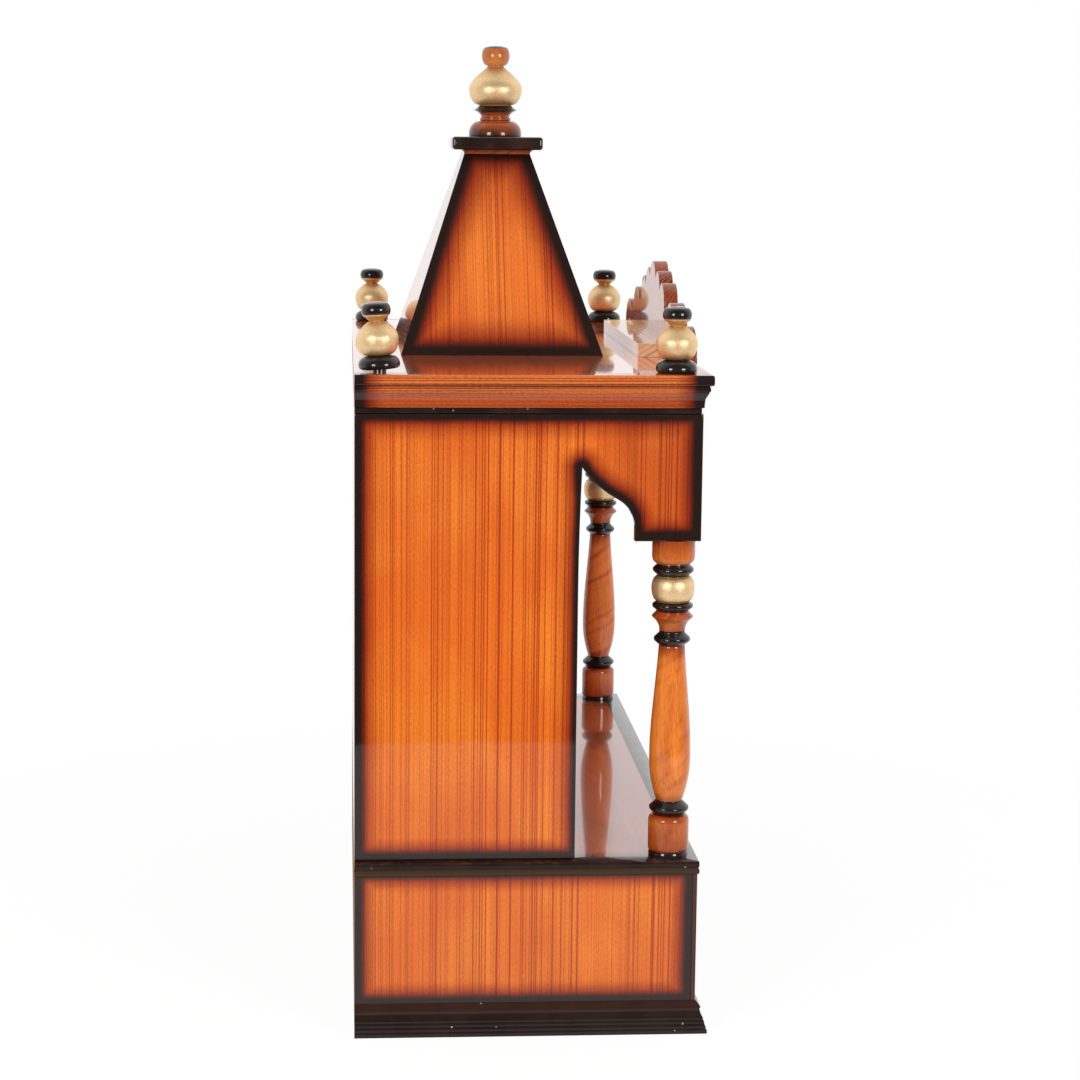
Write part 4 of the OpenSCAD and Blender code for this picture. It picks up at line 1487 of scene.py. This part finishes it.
class TEMPLE_OT_crest(bpy.types.Operator):
    """Build the scalloped crest and finish its backing strip"""

    bl_idname = "temple.crest"
    bl_label = "Crest"

    def execute(self, context):
        wood = moulding_material("crest_wood", Z, NO_ENDS, seed=13.0, rim_tint=(0.45, 0.40, 0.60))
        shaded_board("crest_panel", "crest_board", Y, wood, depth=0.010, width_of=lambda _: 0.0)
        light = colours().strip_light
        strip = moulding_material("strip_wood", X, NO_ENDS, seed=15.0, light=light, lines=0.25)
        dress("crest_strip", strip, ease=0.0006)
        return {"FINISHED"}


# The camera: its turn, its place from the middle of the temple's back edge, its lens in
# millimetres and the shift of its picture
CAMERA_YAW, CAMERA_PITCH, CAMERA_ROLL = 0.064, 0.149, -0.009
CAMERA_X, CAMERA_BEHIND_WALL, CAMERA_Z = -2.4705, 0.0079, 0.7946
SENSOR_WIDTH, LENS = 36.0, 82.6
SHIFT_X, SHIFT_Y = 0.035, -0.026
# What the lamps point at, their turns about it in degrees, and their rise over their distance
LAMP_TARGET = Vector((0.0, 0.0, 0.42))
LAMP_TURNS = {"lamp_back": 31.0, "lamp_front": -31.0}
LAMP_RISE = 0.22
FLOOR_GREY = (0.93, 0.93, 0.93, 1.0)


class TEMPLE_OT_stage(bpy.types.Operator):
    """Set up the floor, the white surroundings, the lamps and the camera"""

    bl_idname = "temple.stage"
    bl_label = "Stage"

    def execute(self, context):
        self.world(context.scene)
        self.floor(context.scene)
        self.lamps(context.scene)
        self.camera(context.scene)
        return {"FINISHED"}

    def world(self, scene):
        world = bpy.data.worlds.new("White studio")
        world.use_nodes = True
        world.node_tree.nodes.clear()
        g = Graph(world.node_tree)
        rays = g.node("ShaderNodeLightPath").outputs
        toward = g.parts_of(g.node("ShaderNodeTexCoord").outputs["Generated"])
        # Matt surfaces get more light from above than from the sides
        overhead = g.times_plus(g.smooth(toward[Z], 0.0, 1.0), 1.35, 0.70)
        level = g.times(overhead, scene.temple_stage.world_level)
        dim = scene.temple_stage.dim_level
        mirrored = g.times_plus(g.smooth(toward[X], -0.50, 0.10), 1.0 - dim, dim)
        seen = g.math("MAXIMUM", rays["Is Camera Ray"], rays["Is Transmission Ray"])
        strength = g.times_plus(seen, g.inverse(level), level)
        strength = g.plus(strength, g.times(rays["Is Glossy Ray"], g.minus(mirrored, level)))
        background = g.node("ShaderNodeBackground")
        background.inputs["Color"].default_value = WHITE
        g.feed(background.inputs["Strength"], strength)
        g.feed(g.node("ShaderNodeOutputWorld").inputs["Surface"], background.outputs[0])
        scene.world = world

    def floor(self, scene):
        """A pale disc that keeps the temple's shadow and fades into the white."""
        made = bmesh.new()
        bmesh.ops.create_circle(made, cap_ends=True, segments=96, radius=scene.temple_stage.floor_radius)
        mesh = bpy.data.meshes.new("floor")
        made.to_mesh(mesh)
        made.free()
        floor = bpy.data.objects.new("floor", mesh)
        scene.collection.objects.link(floor)
        material = bpy.data.materials.new("pale_floor")
        material.use_nodes = True
        material.node_tree.nodes.clear()
        g = Graph(material.node_tree)
        where, _ = g.place()
        radius = g.node("ShaderNodeVectorMath", operation="LENGTH")
        g.feed(radius.inputs[0], where)
        fade = g.math("MAXIMUM", g.smooth(radius.outputs["Value"], 0.40, 0.9), 0.94)
        matt = g.node("ShaderNodeBsdfDiffuse")
        matt.inputs["Color"].default_value = FLOOR_GREY
        white = g.node("ShaderNodeEmission")
        rays = g.node("ShaderNodeLightPath").outputs
        seen = g.times_plus(rays["Is Glossy Ray"], 0.95, rays["Is Camera Ray"])
        g.feed(white.inputs["Strength"], seen)
        blend = g.node("ShaderNodeMixShader")
        for socket, value in zip(blend.inputs, (fade, matt.outputs[0], white.outputs[0])):
            g.feed(socket, value)
        g.feed(g.node("ShaderNodeOutputMaterial").inputs["Surface"], blend.outputs[0])
        set_material(floor, material)

    def lamps(self, scene):
        stage = scene.temple_stage
        for name, angle in LAMP_TURNS.items():
            light = bpy.data.lights.new(name, "AREA")
            light.energy = stage.lamp_power
            light.shape = "SQUARE"
            light.size = stage.lamp_size
            lamp = bpy.data.objects.new(name, light)
            turn = math.radians(angle)
            away = Vector((-math.cos(turn), math.sin(turn), LAMP_RISE))
            lamp.location = LAMP_TARGET + away * stage.lamp_distance
            lamp.rotation_euler = (LAMP_TARGET - lamp.location).to_track_quat("-Z", "Y").to_euler()
            scene.collection.objects.link(lamp)

    def camera(self, scene):
        """A long lens on the left side, a little above and behind the front."""
        yaw, pitch, roll = CAMERA_YAW, CAMERA_PITCH, CAMERA_ROLL
        data = bpy.data.cameras.new("camera")
        data.sensor_width = SENSOR_WIDTH
        data.lens = LENS
        data.shift_x = SHIFT_X
        data.shift_y = SHIFT_Y
        data.clip_end = 50.0
        camera = bpy.data.objects.new("camera", data)
        ahead = math.cos(pitch)
        forward = Vector((math.cos(yaw) * ahead, -math.sin(yaw) * ahead, -math.sin(pitch)))
        level_right = Vector((-math.sin(yaw), -math.cos(yaw), 0.0))
        level_up = level_right.cross(forward)
        right = level_right * math.cos(roll) - level_up * math.sin(roll)
        up = level_right * math.sin(roll) + level_up * math.cos(roll)
        turn = Matrix((right, up, -forward)).transposed().to_4x4()
        place = (CAMERA_X, BOX["base_left"][1][Y] + CAMERA_BEHIND_WALL, CAMERA_Z)
        camera.matrix_world = Matrix.Translation(place) @ turn
        scene.collection.objects.link(camera)
        scene.camera = camera
        scene.view_settings.view_transform = "Standard"


OPERATORS = (
    TEMPLE_OT_side_boards,
    TEMPLE_OT_base,
    TEMPLE_OT_deck_and_top,
    TEMPLE_OT_mouldings,
    TEMPLE_OT_columns,
    TEMPLE_OT_finials,
    TEMPLE_OT_tower,
    TEMPLE_OT_crest,
    TEMPLE_OT_stage,
)


class TEMPLE_PT_panel(bpy.types.Panel):
    """Lists the settings and the steps."""

    bl_idname = "TEMPLE_PT_panel"
    bl_label = "Wooden Home Temple"
    bl_space_type = "VIEW_3D"
    bl_region_type = "UI"
    bl_category = "Temple"

    def draw(self, context):
        layout = self.layout
        scene = context.scene
        for settings in (scene.temple_colours, scene.temple_sizes, scene.temple_stage):
            box = layout.box()
            for key in settings.__annotations__:
                box.prop(settings, key)
        for operator in OPERATORS:
            layout.operator(operator.bl_idname)


def register():
    for cls in (*PROPERTY_GROUPS, *OPERATORS, TEMPLE_PT_panel):
        bpy.utils.register_class(cls)
    bpy.types.Scene.temple_colours = bpy.props.PointerProperty(type=TempleColours)
    bpy.types.Scene.temple_sizes = bpy.props.PointerProperty(type=TempleSizes)
    bpy.types.Scene.temple_stage = bpy.props.PointerProperty(type=TempleStage)


def unregister():
    del bpy.types.Scene.temple_stage
    del bpy.types.Scene.temple_sizes
    del bpy.types.Scene.temple_colours
    for cls in reversed((*PROPERTY_GROUPS, *OPERATORS, TEMPLE_PT_panel)):
        bpy.utils.unregister_class(cls)


def main():
    register()
    for operator in OPERATORS:
        group, name = operator.bl_idname.split(".")
        getattr(getattr(bpy.ops, group), name)()


if __name__ == "__main__":
    main()
